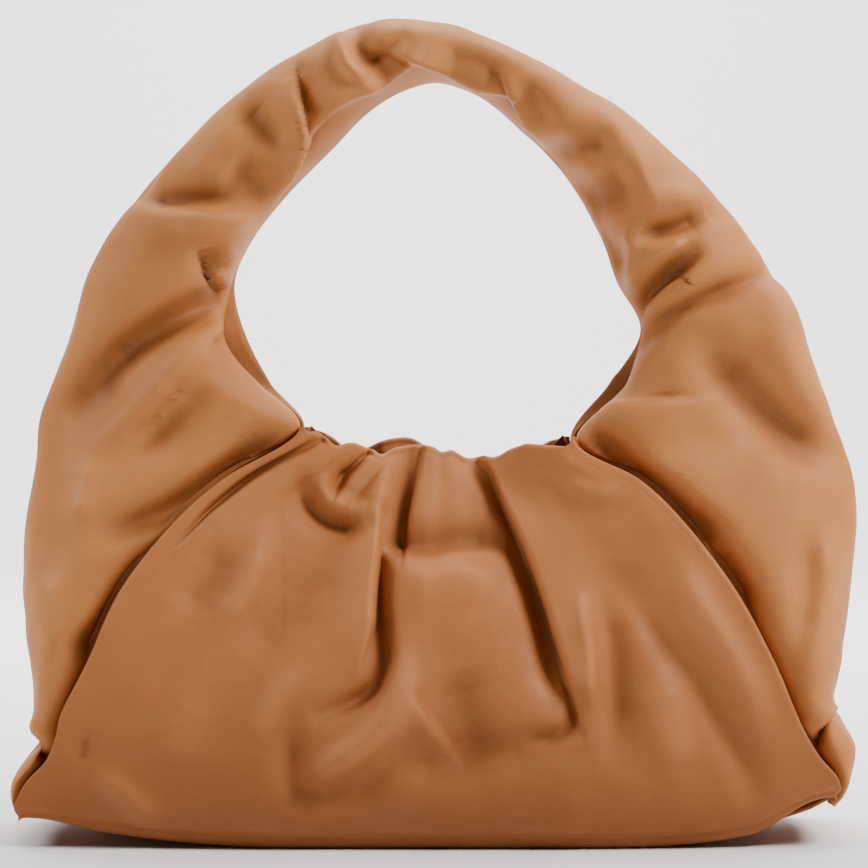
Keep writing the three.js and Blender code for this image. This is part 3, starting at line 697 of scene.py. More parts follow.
# Rise of the rims over the line between the mouth's corners, along the mouth, in heights
FRONT_RIM = np.array(
    (
        (0, -0.002),
        (0.06, -0.010),
        (0.113, -0.0235),
        (0.165, -0.0195),
        (0.2, -0.021),
        (0.264, -0.0305),
        (0.292, -0.0325),
        (0.34, -0.0235),
        (0.42, -0.0185),
        (0.486, -0.0205),
        (0.518, -0.0265),
        (0.563, -0.022),
        (0.623, -0.029),
        (0.676, -0.0235),
        (0.74, -0.0275),
        (0.79, -0.0195),
        (0.84, -0.013),
        (0.94, -0.0135),
        (1, -0.008),
    )
)
BACK_RIM = np.array(
    (
        (0, 0.002),
        (0.08, -0.012),
        (0.16, -0.028),
        (0.21, -0.026),
        (0.27, -0.0165),
        (0.33, -0.012),
        (0.38, -0.0105),
        (0.42, -0.0135),
        (0.486, -0.026),
        (0.6, -0.034),
        (0.76, -0.036),
        (0.88, -0.018),
        (1, 0.002),
    )
)


# Band


@dataclass
class BandStation:
    """Sizes of the band at places along it.

    in_x and in_z are its inner edge, and up_x and up_z the direction from there to its outer
    edge. turn and hook are the reach of its rolled edge across and in depth, and flange what
    is turned in behind it. The panels' own roll and flange there follow, and spread and lift
    are how far their bottom corners stand out and up.
    """

    in_x: np.ndarray
    in_z: np.ndarray
    up_x: np.ndarray
    up_z: np.ndarray
    width: np.ndarray
    depth: np.ndarray
    turn: np.ndarray
    hook: np.ndarray
    flange: np.ndarray
    panel_roll: np.ndarray
    panel_flange: np.ndarray
    spread: np.ndarray
    lift: np.ndarray


def band_station(place: np.ndarray, sizes: BagSizes) -> BandStation:
    """Sizes of the band at places along it.

    Args:
        place: 0 at the left foot and 1 at the right foot.
        sizes: sizes of the bag.

    Returns:
        The station's sizes, each an array as long as place.
    """
    row = place * LAST_ROW
    read = [along_rows(BAND_ROWS[:, k], row) for k in range(6)]
    out_x, out_z = read[0] * sizes.half_width, read[1] * sizes.height
    in_x, in_z = read[2] * sizes.half_width, read[3] * sizes.height
    width = np.hypot(out_x - in_x, out_z - in_z)
    depth = read[4] * sizes.half_side
    closed = np.clip(read[5], 0, 1)
    from_end = np.minimum(row, LAST_ROW - row)
    foot = smooth(0, 3, from_end)
    corner = np.exp(-((from_end / 1.3) ** 2))
    roll = blend(sizes.foot_roll, sizes.edge_roll, foot)
    flange = blend(sizes.foot_flange, sizes.edge_flange, foot)
    tube_hook = depth - sizes.tube_flange - sizes.seam_gap / 2
    return BandStation(
        in_x,
        in_z,
        (out_x - in_x) / width,
        (out_z - in_z) / width,
        width,
        depth,
        blend(roll, sizes.tube_turn * width, closed),
        blend(roll, tube_hook, closed),
        blend(flange, sizes.tube_flange, closed),
        np.full_like(row, sizes.panel_roll),
        flange + sizes.band_tuck + sizes.wall,
        sizes.corner_spread * corner,
        np.where(row < LAST_ROW / 2, *sizes.corner_lift) * corner,
    )


@dataclass
class LeatherBand:
    """One band of leather that is both sides of the pouch and the shoulder strap.

    hook_start and face_start are the shares of half the band's width where its turned edge
    and its open face start.
    """

    sizes: BagSizes
    rows: int = 480
    flange_columns: int = 4
    hook_columns: int = 16
    face_columns: int = 56
    peel_left: float = 11.0
    peel_right: float = 7.0
    fold_gain: float = 1.12
    hook_start: float = 0.1
    face_start: float = 0.4
    hook_power: float = 0.92
    face_power: float = 0.86
    tuck_width: float = 14.0

    def places(self) -> np.ndarray:
        """Places along the band, evenly spaced on a line at 0.8 of the way to its outer edge.

        Returns:
            Places from 0 to 1.
        """
        fine = np.linspace(0, 1, 2000)
        station = band_station(fine, self.sizes)
        x = station.in_x + station.up_x * station.width * 0.8
        z = station.in_z + station.up_z * station.width * 0.8
        run = np.concatenate(([0], np.cumsum(np.hypot(np.diff(x), np.diff(z)))))
        return np.interp(np.linspace(0, run[-1], self.rows + 1), run, fine)

    def across(self) -> np.ndarray:
        """Places across the band, closest together on its turned edges.

        Returns:
            Places from -1 at the front edge to 1 at the back edge.
        """
        flange = np.linspace(1, 0.9, self.flange_columns, endpoint=False)
        hook = np.linspace(0.9, 0.6, self.hook_columns, endpoint=False)
        face = np.linspace(0.6, 0, self.face_columns, endpoint=False)
        half = np.concatenate((flange, hook, face))
        return np.concatenate((-half, [0.0], half[::-1]))

    def peel(self, place: np.ndarray) -> np.ndarray:
        """How far the front half is drawn back from the loop beside the mouth.

        A bump of e to the minus square along the band, on each side of the mouth.

        Args:
            place: places along the band.

        Returns:
            Distance in millimetres, one row a place.
        """
        row = place[:, None] * LAST_ROW
        left = self.peel_left * np.exp(-(((row - LEFT_MOUTH_ROW - 1.75) / 0.85) ** 2))
        right = self.peel_right * np.exp(-(((RIGHT_MOUTH_ROW - 0.9 - row) / 0.6) ** 2))
        return left + right

    def points(self, place: np.ndarray, across: np.ndarray, inset: float) -> np.ndarray:
        """Points of the band's skin: a flange, a turned hook and a full face in each half.

        The hook and the face are quarters of an ellipse, their sine and cosine raised to a
        power, and both are set in by the inset.

        Args:
            place: places along the band.
            across: places across it.
            inset: 0 for the outer skin, the wall for the inner one.

        Returns:
            Grid of points, a row a place.
        """
        station = band_station(place, self.sizes)
        turn, hook = station.turn[:, None], station.hook[:, None]
        depth, width = station.depth[:, None], station.width[:, None]
        side = np.where(across < 0, -1.0, 1.0)[None, :]
        part = 1 - np.abs(across)[None, :]
        start = self.sizes.seam_gap / 2
        middle = start + turn
        inner = depth - hook
        start_hook, start_face = self.hook_start, self.face_start
        hook_angle = np.clip((part - start_hook) / 0.3, 0, 1) * np.pi / 2
        face_angle = np.clip((1 - part) / 0.6, 0, 1) * np.pi / 2
        flange_y = inner - station.flange[:, None] * (1 - part / start_hook)
        hook_u = middle - (turn - inset) * np.cos(hook_angle) ** self.hook_power
        hook_y = inner + (hook - inset) * np.sin(hook_angle) ** self.hook_power
        face_u = middle + (width - middle - inset) * np.cos(face_angle) ** self.face_power
        face_y = (depth - inset) * np.sin(face_angle) ** self.face_power
        bands = [part < start_hook, part < start_face]
        u = np.where(bands[0], start + inset, np.where(bands[1], hook_u, face_u))
        y = side * np.where(bands[0], flange_y, np.where(bands[1], hook_y, face_y))
        peel = self.peel(place)
        tuck = 1.35 * peel * np.clip(1 - part / start_hook, 0, 1)
        u = u + np.where(across < 0, peel * smooth(-0.4, -0.8, across), tuck)
        y = y + np.where(across < 0, 0, inset * np.minimum(1, tuck / 4))
        x = station.in_x[:, None] + station.up_x[:, None] * u
        z = station.in_z[:, None] + station.up_z[:, None] * u
        return np.stack((x, y, z), -1)

    def tuck(self, place: np.ndarray, points: np.ndarray) -> np.ndarray:
        """How far the band dips behind the panels' edges: e to the minus square of the way in.

        Args:
            place: places along the band.
            points: its outer skin.

        Returns:
            Depth of the dip at each point, none along the strap.
        """
        station = band_station(place, self.sizes)
        over_x = points[..., 0] - station.in_x[:, None]
        over_z = points[..., 2] - station.in_z[:, None]
        way = over_x * station.up_x[:, None] + over_z * station.up_z[:, None]
        row = place * LAST_ROW
        side = 1 - smooth(LEFT_MOUTH_ROW, LEFT_MOUTH_ROW + 1, row)
        side += smooth(RIGHT_MOUTH_ROW - 1, RIGHT_MOUTH_ROW, row)
        return self.sizes.band_tuck * side[:, None] * np.exp(-((way / self.tuck_width) ** 2))

    def build(self) -> bpy.types.Object:
        """Folds the band and puts it into a mesh.

        The folds fade where the band turns over its outer edge, and stay out of its turned
        edges. Their heights, less the dip behind the panels, go to the finish as the mask for painted
        shade and a painted highlight.

        Returns:
            The band's object.
        """
        place, across = self.places(), self.across()
        outer = self.points(place, across, 0.0)
        inner = self.points(place[::2], across[::2], self.sizes.wall)
        station = band_station(place, self.sizes)
        heart_x = station.in_x + station.up_x * station.width * 0.5
        heart_z = station.in_z + station.up_z * station.width * 0.5
        heart = np.stack((heart_x, 0 * heart_x, heart_z), -1)[:, None, :]
        normal = surface_normals(outer, outer - heart)
        front, front_draw = fold_relief(BAND_FRONT_FOLDS, VIEW.seen(outer, Facing.FRONT))
        back, back_draw = fold_relief(BAND_BACK_FOLDS, VIEW.seen(outer, Facing.BACK))
        depth = station.depth[:, None]
        face = smooth(0.0, 0.4, np.abs(outer[..., 1]) / depth)
        edge = smooth(0.03, 0.22, 1 - np.abs(across))[None, :]
        hold = face * edge
        is_front = (across < 0)[None, :]
        raw = np.where(is_front, front, back) * self.fold_gain * edge
        height = raw * face
        draw = np.where(is_front[..., None], front_draw, back_draw) * hold[..., None]
        swell = undulation(outer, 46.0, 3) * 0.7 + undulation(outer, 21.0, 5) * 0.25
        outward = np.zeros_like(outer)
        outward[..., 1] = np.sign(outer[..., 1])
        way = fold_direction(normal, outward * face[..., None] + normal * (1 - face[..., None]))
        move = way * height[..., None] + normal * (swell * edge)[..., None]
        move[..., 0] += draw[..., 0]
        move[..., 2] -= draw[..., 1]
        tuck = self.tuck(place, outer)
        move[..., 1] -= np.sign(outer[..., 1]) * tuck
        # painted shade: the heights sent to the finish keep the folds up to the band's turned edges and
        # are lowered along the dip behind the panels, so these places are painted darker
        shade = raw * (0.55 + 0.45 * face) - 0.45 * tuck
        sheet = LeatherSheet("band_leather", outer + move, inner + move[::2, ::2], shade, True)
        return sheet.build()


# Panels


@dataclass
class LeatherPanel:
    """Front or back of the pouch: one sheet with turned side edges and a rolled rim."""

    sizes: BagSizes
    name: str
    facing: Facing
    folds: tuple[Fold, ...]
    rim: np.ndarray
    face_columns: int = 300
    face_rows: int = 200
    wrap_rows: int = 8
    roll_rows: int = 12
    return_rows: int = 4
    gather: float = 0.5
    rim_edge: float = 0.07
    fold_edge: float = 0.05

    def columns(self) -> tuple[np.ndarray, np.ndarray]:
        """Columns in order: a flange, a side roll, the face, and the other roll and flange.

        Returns:
            Turn and place across of each column.
        """
        flange = np.linspace(0, 1, 3, endpoint=False)
        turn = np.concatenate((flange, np.linspace(1, 2, 8, endpoint=False)))
        turns = np.concatenate((turn, np.full(self.face_columns + 1, 2.0), turn[::-1]))
        face = np.linspace(0, 1, self.face_columns + 1)
        across = np.concatenate((0 * turn, face, 0 * turn + 1))
        return turns, across

    def rows(self) -> tuple[np.ndarray, np.ndarray, np.ndarray]:
        """Rows in order: the wrap under the pouch, the face, the rim's roll and its return.

        Returns:
            Wrap, level up the face and way over the rim of each row.
        """
        wrap = np.linspace(-1, 0, self.wrap_rows, endpoint=False)
        level = np.linspace(0, 1, self.face_rows + 1)
        roll = np.linspace(0, 2, self.roll_rows + 1)[1:]
        over = np.concatenate((roll, np.linspace(2, 3, self.return_rows + 1)[1:]))
        wraps = np.concatenate((wrap, 0 * level, 0 * over))
        levels = np.concatenate((0 * wrap, level, 0 * over + 1))
        overs = np.concatenate((0 * wrap, 0 * level, over))
        return wraps, levels, overs

    def side_points(
        self,
        place: np.ndarray,
        turn: np.ndarray,
        angle: np.ndarray,
        over: np.ndarray,
        inset: float,
    ) -> np.ndarray:
        """Points of a turned side edge: a flange that runs back, then a quarter roll.

        Args:
            place: places along the band, one a row.
            turn: 0 at the flange's end, 1 where the roll starts and 2 at its front.
            angle: turn of the wrap under the pouch, one a row.
            over: way over the rim, one a row.
            inset: 0 for the outer skin, the wall for the inner one.

        Returns:
            Grid of points for a panel that faces +Y.
        """
        sizes = self.sizes
        station = band_station(place, sizes)
        roll = station.panel_roll[:, None]
        front = (station.depth + sizes.panel_lip)[:, None]
        radius = roll - inset
        bend = np.maximum(0, turn - 1)[None, :] * np.pi / 2
        u = -sizes.seam_gap / 2 - roll + radius * np.cos(bend)
        back = station.panel_flange[:, None] * np.maximum(0, 1 - turn)[None, :]
        foot = sizes.foot_roll - inset
        under = (foot * np.sin(angle))[:, None]
        tuck = (foot * (1 - np.cos(angle)))[:, None] * np.sin(bend)
        seam_x = (station.in_x + np.sign(station.in_x) * station.spread)[:, None]
        x = seam_x + station.up_x[:, None] * u
        z = (station.in_z + station.lift)[:, None] + station.up_z[:, None] * u - under
        y = front - roll - back + radius * np.sin(bend) - tuck
        return np.stack((x, y, z + (over * sizes.corner_step)[:, None]), -1)

    def points(
        self, columns: tuple[np.ndarray, ...], rows: tuple[np.ndarray, ...], inset: float
    ) -> np.ndarray:
        """Points of the panel's skin.

        The face runs straight between the two seams, is bulged by a table in depth, drops to
        the sole near its foot with the square of the way down, and to the rim's table near
        the mouth with the square of the way up. Its foot and rim are parts of circles.

        Args:
            columns: turn and across of each column.
            rows: wrap, level and over of each row.
            inset: 0 for the outer skin, the wall for the inner one.

        Returns:
            Grid of points.
        """
        sizes = self.sizes
        turn, across_line = columns
        wrap_line, level_line, over_line = rows
        left_place = level_line * LEFT_MOUTH_ROW / LAST_ROW
        right_place = 1 - level_line * (LAST_ROW - RIGHT_MOUTH_ROW) / LAST_ROW
        angle = -wrap_line * np.pi / 2
        corners = []
        for place in (left_place, right_place):
            station = band_station(place, sizes)
            reach = sizes.seam_gap / 2 + station.panel_roll
            x = station.in_x - station.up_x * reach + np.sign(station.in_x) * station.spread
            z = station.in_z - station.up_z * reach + station.lift
            corners.append([part[:, None] for part in (x, z, station.depth + sizes.panel_lip)])
        left, right = corners
        across = across_line[None, :]
        level, over = level_line[:, None], over_line[:, None]
        bend = angle[:, None]
        x = blend(left[0], right[0], across)
        open_share = inside(sizes.corner_run, across)
        wrap = blend(sizes.foot_roll, sizes.wrap_radius, open_share)
        corner_z = blend(left[1], right[1], across)
        ground = (sizes.sole_height(x) + wrap) * open_share
        foot_z = corner_z * (1 - open_share) + ground
        rim = through_rows(self.rim, across_line)[None, :] * sizes.height
        z = corner_z + rim * level**2 + (foot_z - corner_z) * (1 - level) ** 2
        middle = inside(BULGE_EDGE, across)
        edge = blend(left[2], right[2], across)
        depth = through_rows(BULGE_ROWS, level_line)[:, None] * sizes.half_side
        near = inside(self.rim_edge, across)
        z = z - (wrap - inset) * np.sin(bend)
        y = blend(edge, depth, middle) - inset - (wrap - inset) * (1 - np.cos(bend))
        roll_angle = np.minimum(1, over / 2) * np.pi
        radius = sizes.rim_roll - inset
        lean = sizes.rim_lean * np.maximum(0, over - 2)
        inward = np.where(over > 0, sizes.rim_roll - radius * np.cos(roll_angle) - inset + lean, 0)
        rise = radius * np.sin(roll_angle) - sizes.rim_return * np.maximum(0, over - 2)
        z = z + blend(over * sizes.corner_step, rise, near)
        y = y - inward * near
        face = np.stack((x, y, z), -1)
        for is_side, place in ((across_line < 0.5, left_place), (across_line >= 0.5, right_place)):
            columns_here = np.flatnonzero(is_side & (turn < 2))
            side = self.side_points(place, turn[columns_here], angle, over_line, inset)
            face[:, columns_here] = side
        face[..., 1] *= self.facing.value
        return face

    def move(
        self, outer: np.ndarray, columns: tuple[np.ndarray, ...], rows: tuple[np.ndarray, ...]
    ) -> tuple[np.ndarray, np.ndarray]:
        """How far each point moves for the folds, and the folds' height.

        The rolled rim moves with the top row of the face, and its return with the row of the
        face at the same height. The folds fade toward the foot and the side edges.

        Args:
            outer: outer skin before it is folded.
            columns: turn and across of each column.
            rows: wrap, level and over of each row.

        Returns:
            Moves in millimetres and fold heights in millimetres.
        """
        turn, across = columns
        wrap, level, over = rows
        height, draw = fold_relief(self.folds, VIEW.seen(outer, self.facing))
        outward = np.array((0.0, self.facing.value, 0.0))
        normal = surface_normals(outer, np.broadcast_to(outward, outer.shape))
        swell = undulation(outer, 52.0, 11) * 0.7 + undulation(outer, 19.0, 12) * 0.22
        up = level[:, None]
        ripple = np.sin(across[None, :] * 2 * np.pi * 9 + 3 * np.sin(across[None, :] * 9))
        gather = self.gather * ripple * np.exp(-(1 - up) * 7)
        near = inside(self.fold_edge, across) * (turn >= 2)
        hold = near[None, :] * smooth(0, 0.08, up) * (1 - 0.4 * smooth(0.88, 1.0, up))
        height = height * hold
        move = fold_direction(normal, outward) * height[..., None]
        move += normal * ((swell + gather) * hold)[..., None]
        move[..., 0] += draw[..., 0] * hold
        move[..., 2] -= draw[..., 1] * hold
        top = int(np.flatnonzero(level >= 1)[0])
        fall = np.maximum(0, over[top:] - 2) * self.sizes.rim_return
        face_row = top - np.round(fall / self.sizes.height * 2 * self.face_rows).astype(int)
        move[top:] = move[face_row]
        height[top:] = height[face_row]
        return move, height

    def build(self) -> bpy.types.Object:
        """Folds the panel and puts it into a mesh.

        Returns:
            The panel's object.
        """
        columns, rows = self.columns(), self.rows()
        outer = self.points(columns, rows, 0.0)
        coarse_columns = tuple(part[::2] for part in columns)
        coarse_rows = tuple(part[::2] for part in rows)
        inner = self.points(coarse_columns, coarse_rows, self.sizes.wall)
        move, height = self.move(outer, columns, rows)
        flip = self.facing is Facing.BACK
        sheet = LeatherSheet(self.name, outer + move, inner + move[::2, ::2], height, flip)
        return sheet.build()


@dataclass
class LeatherSole:
    """Sole of the pouch: a sheet between the feet of the panels, lifted at its two ends."""

    sizes: BagSizes
    rows: int = 40
    columns: int = 160
    end_edge: float = 0.03
    end_rise: float = 3.6

    def half_depth(self, x: np.ndarray) -> np.ndarray:
        """Half depth of the sole: the panels' foot less their wrap, and narrow at the ends.

        Args:
            x: places across the bag.

        Returns:
            Half depth at each place.
        """
        sizes = self.sizes
        left = band_station(np.array([0.0]), sizes)
        right = band_station(np.array([1.0]), sizes)
        reach = sizes.seam_gap / 2 + left.panel_roll[0]
        left_x = (left.in_x - left.up_x * reach - left.spread)[0]
        right_x = (right.in_x - right.up_x * reach + right.spread)[0]
        across = np.clip((x - left_x) / (right_x - left_x), 0, 1)
        open_share = inside(sizes.corner_run, across)
        middle = inside(BULGE_EDGE, across)
        front = left.depth[0] + sizes.panel_lip
        foot = blend(front, BULGE_ROWS[0, 1] * sizes.half_side, middle)
        depth = foot - blend(sizes.foot_roll, sizes.wrap_radius, open_share) - sizes.base_gap
        tuck = left.depth[0] - sizes.base_tuck
        return blend(tuck, depth, inside(self.end_edge, across))

    def points(self, height: float) -> np.ndarray:
        """Skin of the sole: the sole's lift, with an even rise from its flat middle outward.

        Args:
            height: height over the underside.

        Returns:
            Grid of points.
        """
        sizes = self.sizes
        margin = sizes.wall + sizes.base_gap
        left_end = BAND_ROWS[0, 0] * sizes.half_width + margin
        right_end = BAND_ROWS[-1, 0] * sizes.half_width - margin
        x = np.linspace(left_end, right_end, self.columns + 1)[None, :]
        share = np.linspace(-1, 1, self.rows + 1)[:, None]
        y = self.half_depth(x) * share
        raise_ends = self.end_rise * smooth(0.3, 0.6, np.abs(x) / sizes.half_width)
        z = sizes.sole_height(x) + raise_ends + height + 0 * share
        return np.stack(np.broadcast_arrays(x, y, z), -1)

    def build(self) -> bpy.types.Object:
        """Puts the sole into a mesh.

        Returns:
            The sole's object.
        """
        under = self.points(0.0)
        over = self.points(self.sizes.wall)[::2, ::2]
        sheet = LeatherSheet("sole_leather", under, over, 0 * under[..., 0], True)
        return sheet.build()


# Finishes


class NodeSheet:
    """Short way to place and join shader nodes."""

    def __init__(self, tree: bpy.types.NodeTree) -> None:
        """Keeps the tree that the nodes go into."""
        self.tree = tree

    def add(self, kind: str, **values: object) -> bpy.types.Node:
        """Places a node and sets its options.

        Args:
            kind: Blender's name of the node.
            values: options by name.

        Returns:
            The node.
        """
        node = self.tree.nodes.new(kind)
        for name, value in values.items():
            setattr(node, name, value)
        return node

    def join(self, source: bpy.types.NodeSocket, target: bpy.types.NodeSocket) -> None:
        """Links an output to an input."""
        self.tree.links.new(source, target)

    def put(self, target: bpy.types.NodeSocket, value: object) -> None:
        """Links a socket, or sets a plain value, on an input.

        Args:
            target: the input.
            value: an output to link, or a number, colour or vector.
        """
        if isinstance(value, bpy.types.NodeSocket):
            self.join(value, target)
        else:
            target.default_value = value

    def math(self, operation: str, *values: object) -> bpy.types.NodeSocket:
        """Sum, product or other operation of values.

        Args:
            operation: Blender's name of the operation.
            values: numbers or outputs, in order.

        Returns:
            The result.
        """
        node = self.add("ShaderNodeMath", operation=operation)
        for target, value in zip(node.inputs, values):
            self.put(target, value)
        return node.outputs[0]

    def span(
        self, value: object, low: float, high: float, start: float, end: float
    ) -> bpy.types.NodeSocket:
        """Value that goes softly from start at low to end at high.

        Args:
            value: the value to read.
            low: where the start is reached.
            high: where the end is reached.
            start: result at low.
            end: result at high.

        Returns:
            The result.
        """
        node = self.add("ShaderNodeMapRange", interpolation_type="SMOOTHSTEP")
        names = ("Value", "From Min", "From Max", "To Min", "To Max")
        for name, number in zip(names, (value, low, high, start, end)):
            self.put(node.inputs[name], number)
        return node.outputs[0]

    def noise(
        self, place: object, scale: object, detail: float = 2.0, rough: float = 0.5
    ) -> bpy.types.NodeSocket:
        """Cloudy noise.

        Args:
            place: where it is read.
            scale: clouds a metre.
            detail: layers of finer noise.
            rough: strength of each finer layer.

        Returns:
            Value of about 0 to 1.
        """
        node = self.add("ShaderNodeTexNoise")
        self.put(node.inputs["Vector"], place)
        self.put(node.inputs["Scale"], scale)
        node.inputs["Detail"].default_value = detail
        node.inputs["Roughness"].default_value = rough
        return node.outputs["Fac"]

    def mix(
        self, share: object, first: object, second: object, way: str = "MIX"
    ) -> bpy.types.NodeSocket:
        """Mix of two colours.

        Args:
            share: share of the second colour.
            first: the colour below.
            second: the colour above.
            way: Blender's name of the way of mixing.

        Returns:
            The mixed colour.
        """
        node = self.add("ShaderNodeMix", data_type="RGBA", blend_type=way)
        self.put(node.inputs[0], share)
        self.put(node.inputs[6], first)
        self.put(node.inputs[7], second)
        return node.outputs[2]


def group_tree(
    name: str, inputs: dict[str, str], outputs: dict[str, str]
) -> tuple[NodeSheet, dict, dict]:
    """Starts a shader node group with named sockets.

    Args:
        name: the group's name.
        inputs: socket kinds by name.
        outputs: socket kinds by name.

    Returns:
        The sheet, the sockets that give the inputs and those that take the outputs.
    """
    tree = bpy.data.node_groups.new(name, "ShaderNodeTree")
    for label, kind in inputs.items():
        tree.interface.new_socket(name=label, in_out="INPUT", socket_type=kind)
    for label, kind in outputs.items():
        tree.interface.new_socket(name=label, in_out="OUTPUT", socket_type=kind)
    sheet = NodeSheet(tree)
    start = sheet.add("NodeGroupInput")
    end = sheet.add("NodeGroupOutput")
    given = {label: start.outputs[label] for label in inputs}
    return sheet, given, {label: end.inputs[label] for label in outputs}


FLOAT, VECTOR = "NodeSocketFloat", "NodeSocketVector"


def make_grain_group() -> bpy.types.NodeTree:
    """Fine grain of the leather: pebbles from cell distances, broken up by noise.

    Returns:
        The group.
    """
    sheet, given, wanted = group_tree(
        "leather_grain",
        {"Place": VECTOR, "Pebble Scale": FLOAT, "Pore Scale": FLOAT},
        {"Height": FLOAT, "Speck": FLOAT},
    )
    warp = sheet.add("ShaderNodeTexNoise")
    sheet.join(given["Place"], warp.inputs["Vector"])
    warp.inputs["Scale"].default_value = 260.0
    shifted = sheet.add("ShaderNodeVectorMath", operation="MULTIPLY_ADD")
    sheet.join(warp.outputs["Color"], shifted.inputs[0])
    shifted.inputs[1].default_value = (0.0012, 0.0012, 0.0012)
    sheet.join(given["Place"], shifted.inputs[2])
    pebble = sheet.add("ShaderNodeTexVoronoi", feature="DISTANCE_TO_EDGE")
    sheet.join(shifted.outputs[0], pebble.inputs["Vector"])
    sheet.join(given["Pebble Scale"], pebble.inputs["Scale"])
    dome = sheet.span(pebble.outputs["Distance"], 0.0, 0.28, 0.0, 1.0)
    pores = sheet.noise(given["Place"], given["Pore Scale"], 3.0, 0.6)
    low = sheet.math("MULTIPLY", pores, 0.45)
    sheet.join(sheet.math("MULTIPLY_ADD", dome, 0.55, low), wanted["Height"])
    sheet.join(pores, wanted["Speck"])
    return sheet.tree


def make_patina_and_ground_shade_group() -> bpy.types.NodeTree:
    """Slow changes of tone over the hide, fine creases from use, and a mask near the ground for painted
    shade that darkens the leather toward the bottom.

    Returns:
        The group.
    """
    sheet, given, wanted = group_tree(
        "hide_patina",
        {"Place": VECTOR, "Patch Scale": FLOAT},
        {"Cloud": FLOAT, "Crease": FLOAT, "Foot": FLOAT},
    )
    parts = sheet.add("ShaderNodeSeparateXYZ")
    sheet.join(given["Place"], parts.inputs[0])
    # mask for painted shade: 1 at the ground, fading to 0 at 130 mm up
    sheet.join(sheet.span(parts.outputs[2], 0.0, 0.13, 1.0, 0.0), wanted["Foot"])
    sheet.join(sheet.noise(given["Place"], given["Patch Scale"], 4.0, 0.55), wanted["Cloud"])
    stretch = sheet.add("ShaderNodeMapping")
    stretch.inputs["Scale"].default_value = (1.0, 1.0, 2.6)
    stretch.inputs["Rotation"].default_value = (0.0, 0.4, 0.0)
    sheet.join(given["Place"], stretch.inputs["Vector"])
    line = sheet.noise(stretch.outputs[0], 85.0, 3.0, 0.5)
    off = sheet.math("ABSOLUTE", sheet.math("SUBTRACT", line, 0.5))
    sheet.join(sheet.span(off, 0.0, 0.03, 1.0, 0.0), wanted["Crease"])
    return sheet.tree


def make_fold_group() -> bpy.types.NodeTree:
    """Masks from the height of the folds: painted shade in the hollows and a painted highlight on the
    crests.

    Returns:
        The group.
    """
    sheet, given, wanted = group_tree(
        "fold_painted_shade_and_highlight", {"Fold Height": FLOAT, "Cloud": FLOAT}, {"Hollow": FLOAT, "Crest": FLOAT}
    )
    # painted shade: the deeper a fold's hollow, the more it is painted dark
    hollow = sheet.span(given["Fold Height"], -2.2, -10.0, 0.0, 1.0)
    # painted highlight: the higher a fold's crest, the more it is painted light, broken up in patches by
    # the cloud
    crest = sheet.span(given["Fold Height"], 0.4, 4.5, 0.0, 1.0)
    broken = sheet.span(given["Cloud"], 0.35, 0.6, 0.45, 1.0)
    sheet.join(hollow, wanted["Hollow"])
    sheet.join(sheet.math("MULTIPLY", crest, broken), wanted["Crest"])
    return sheet.tree


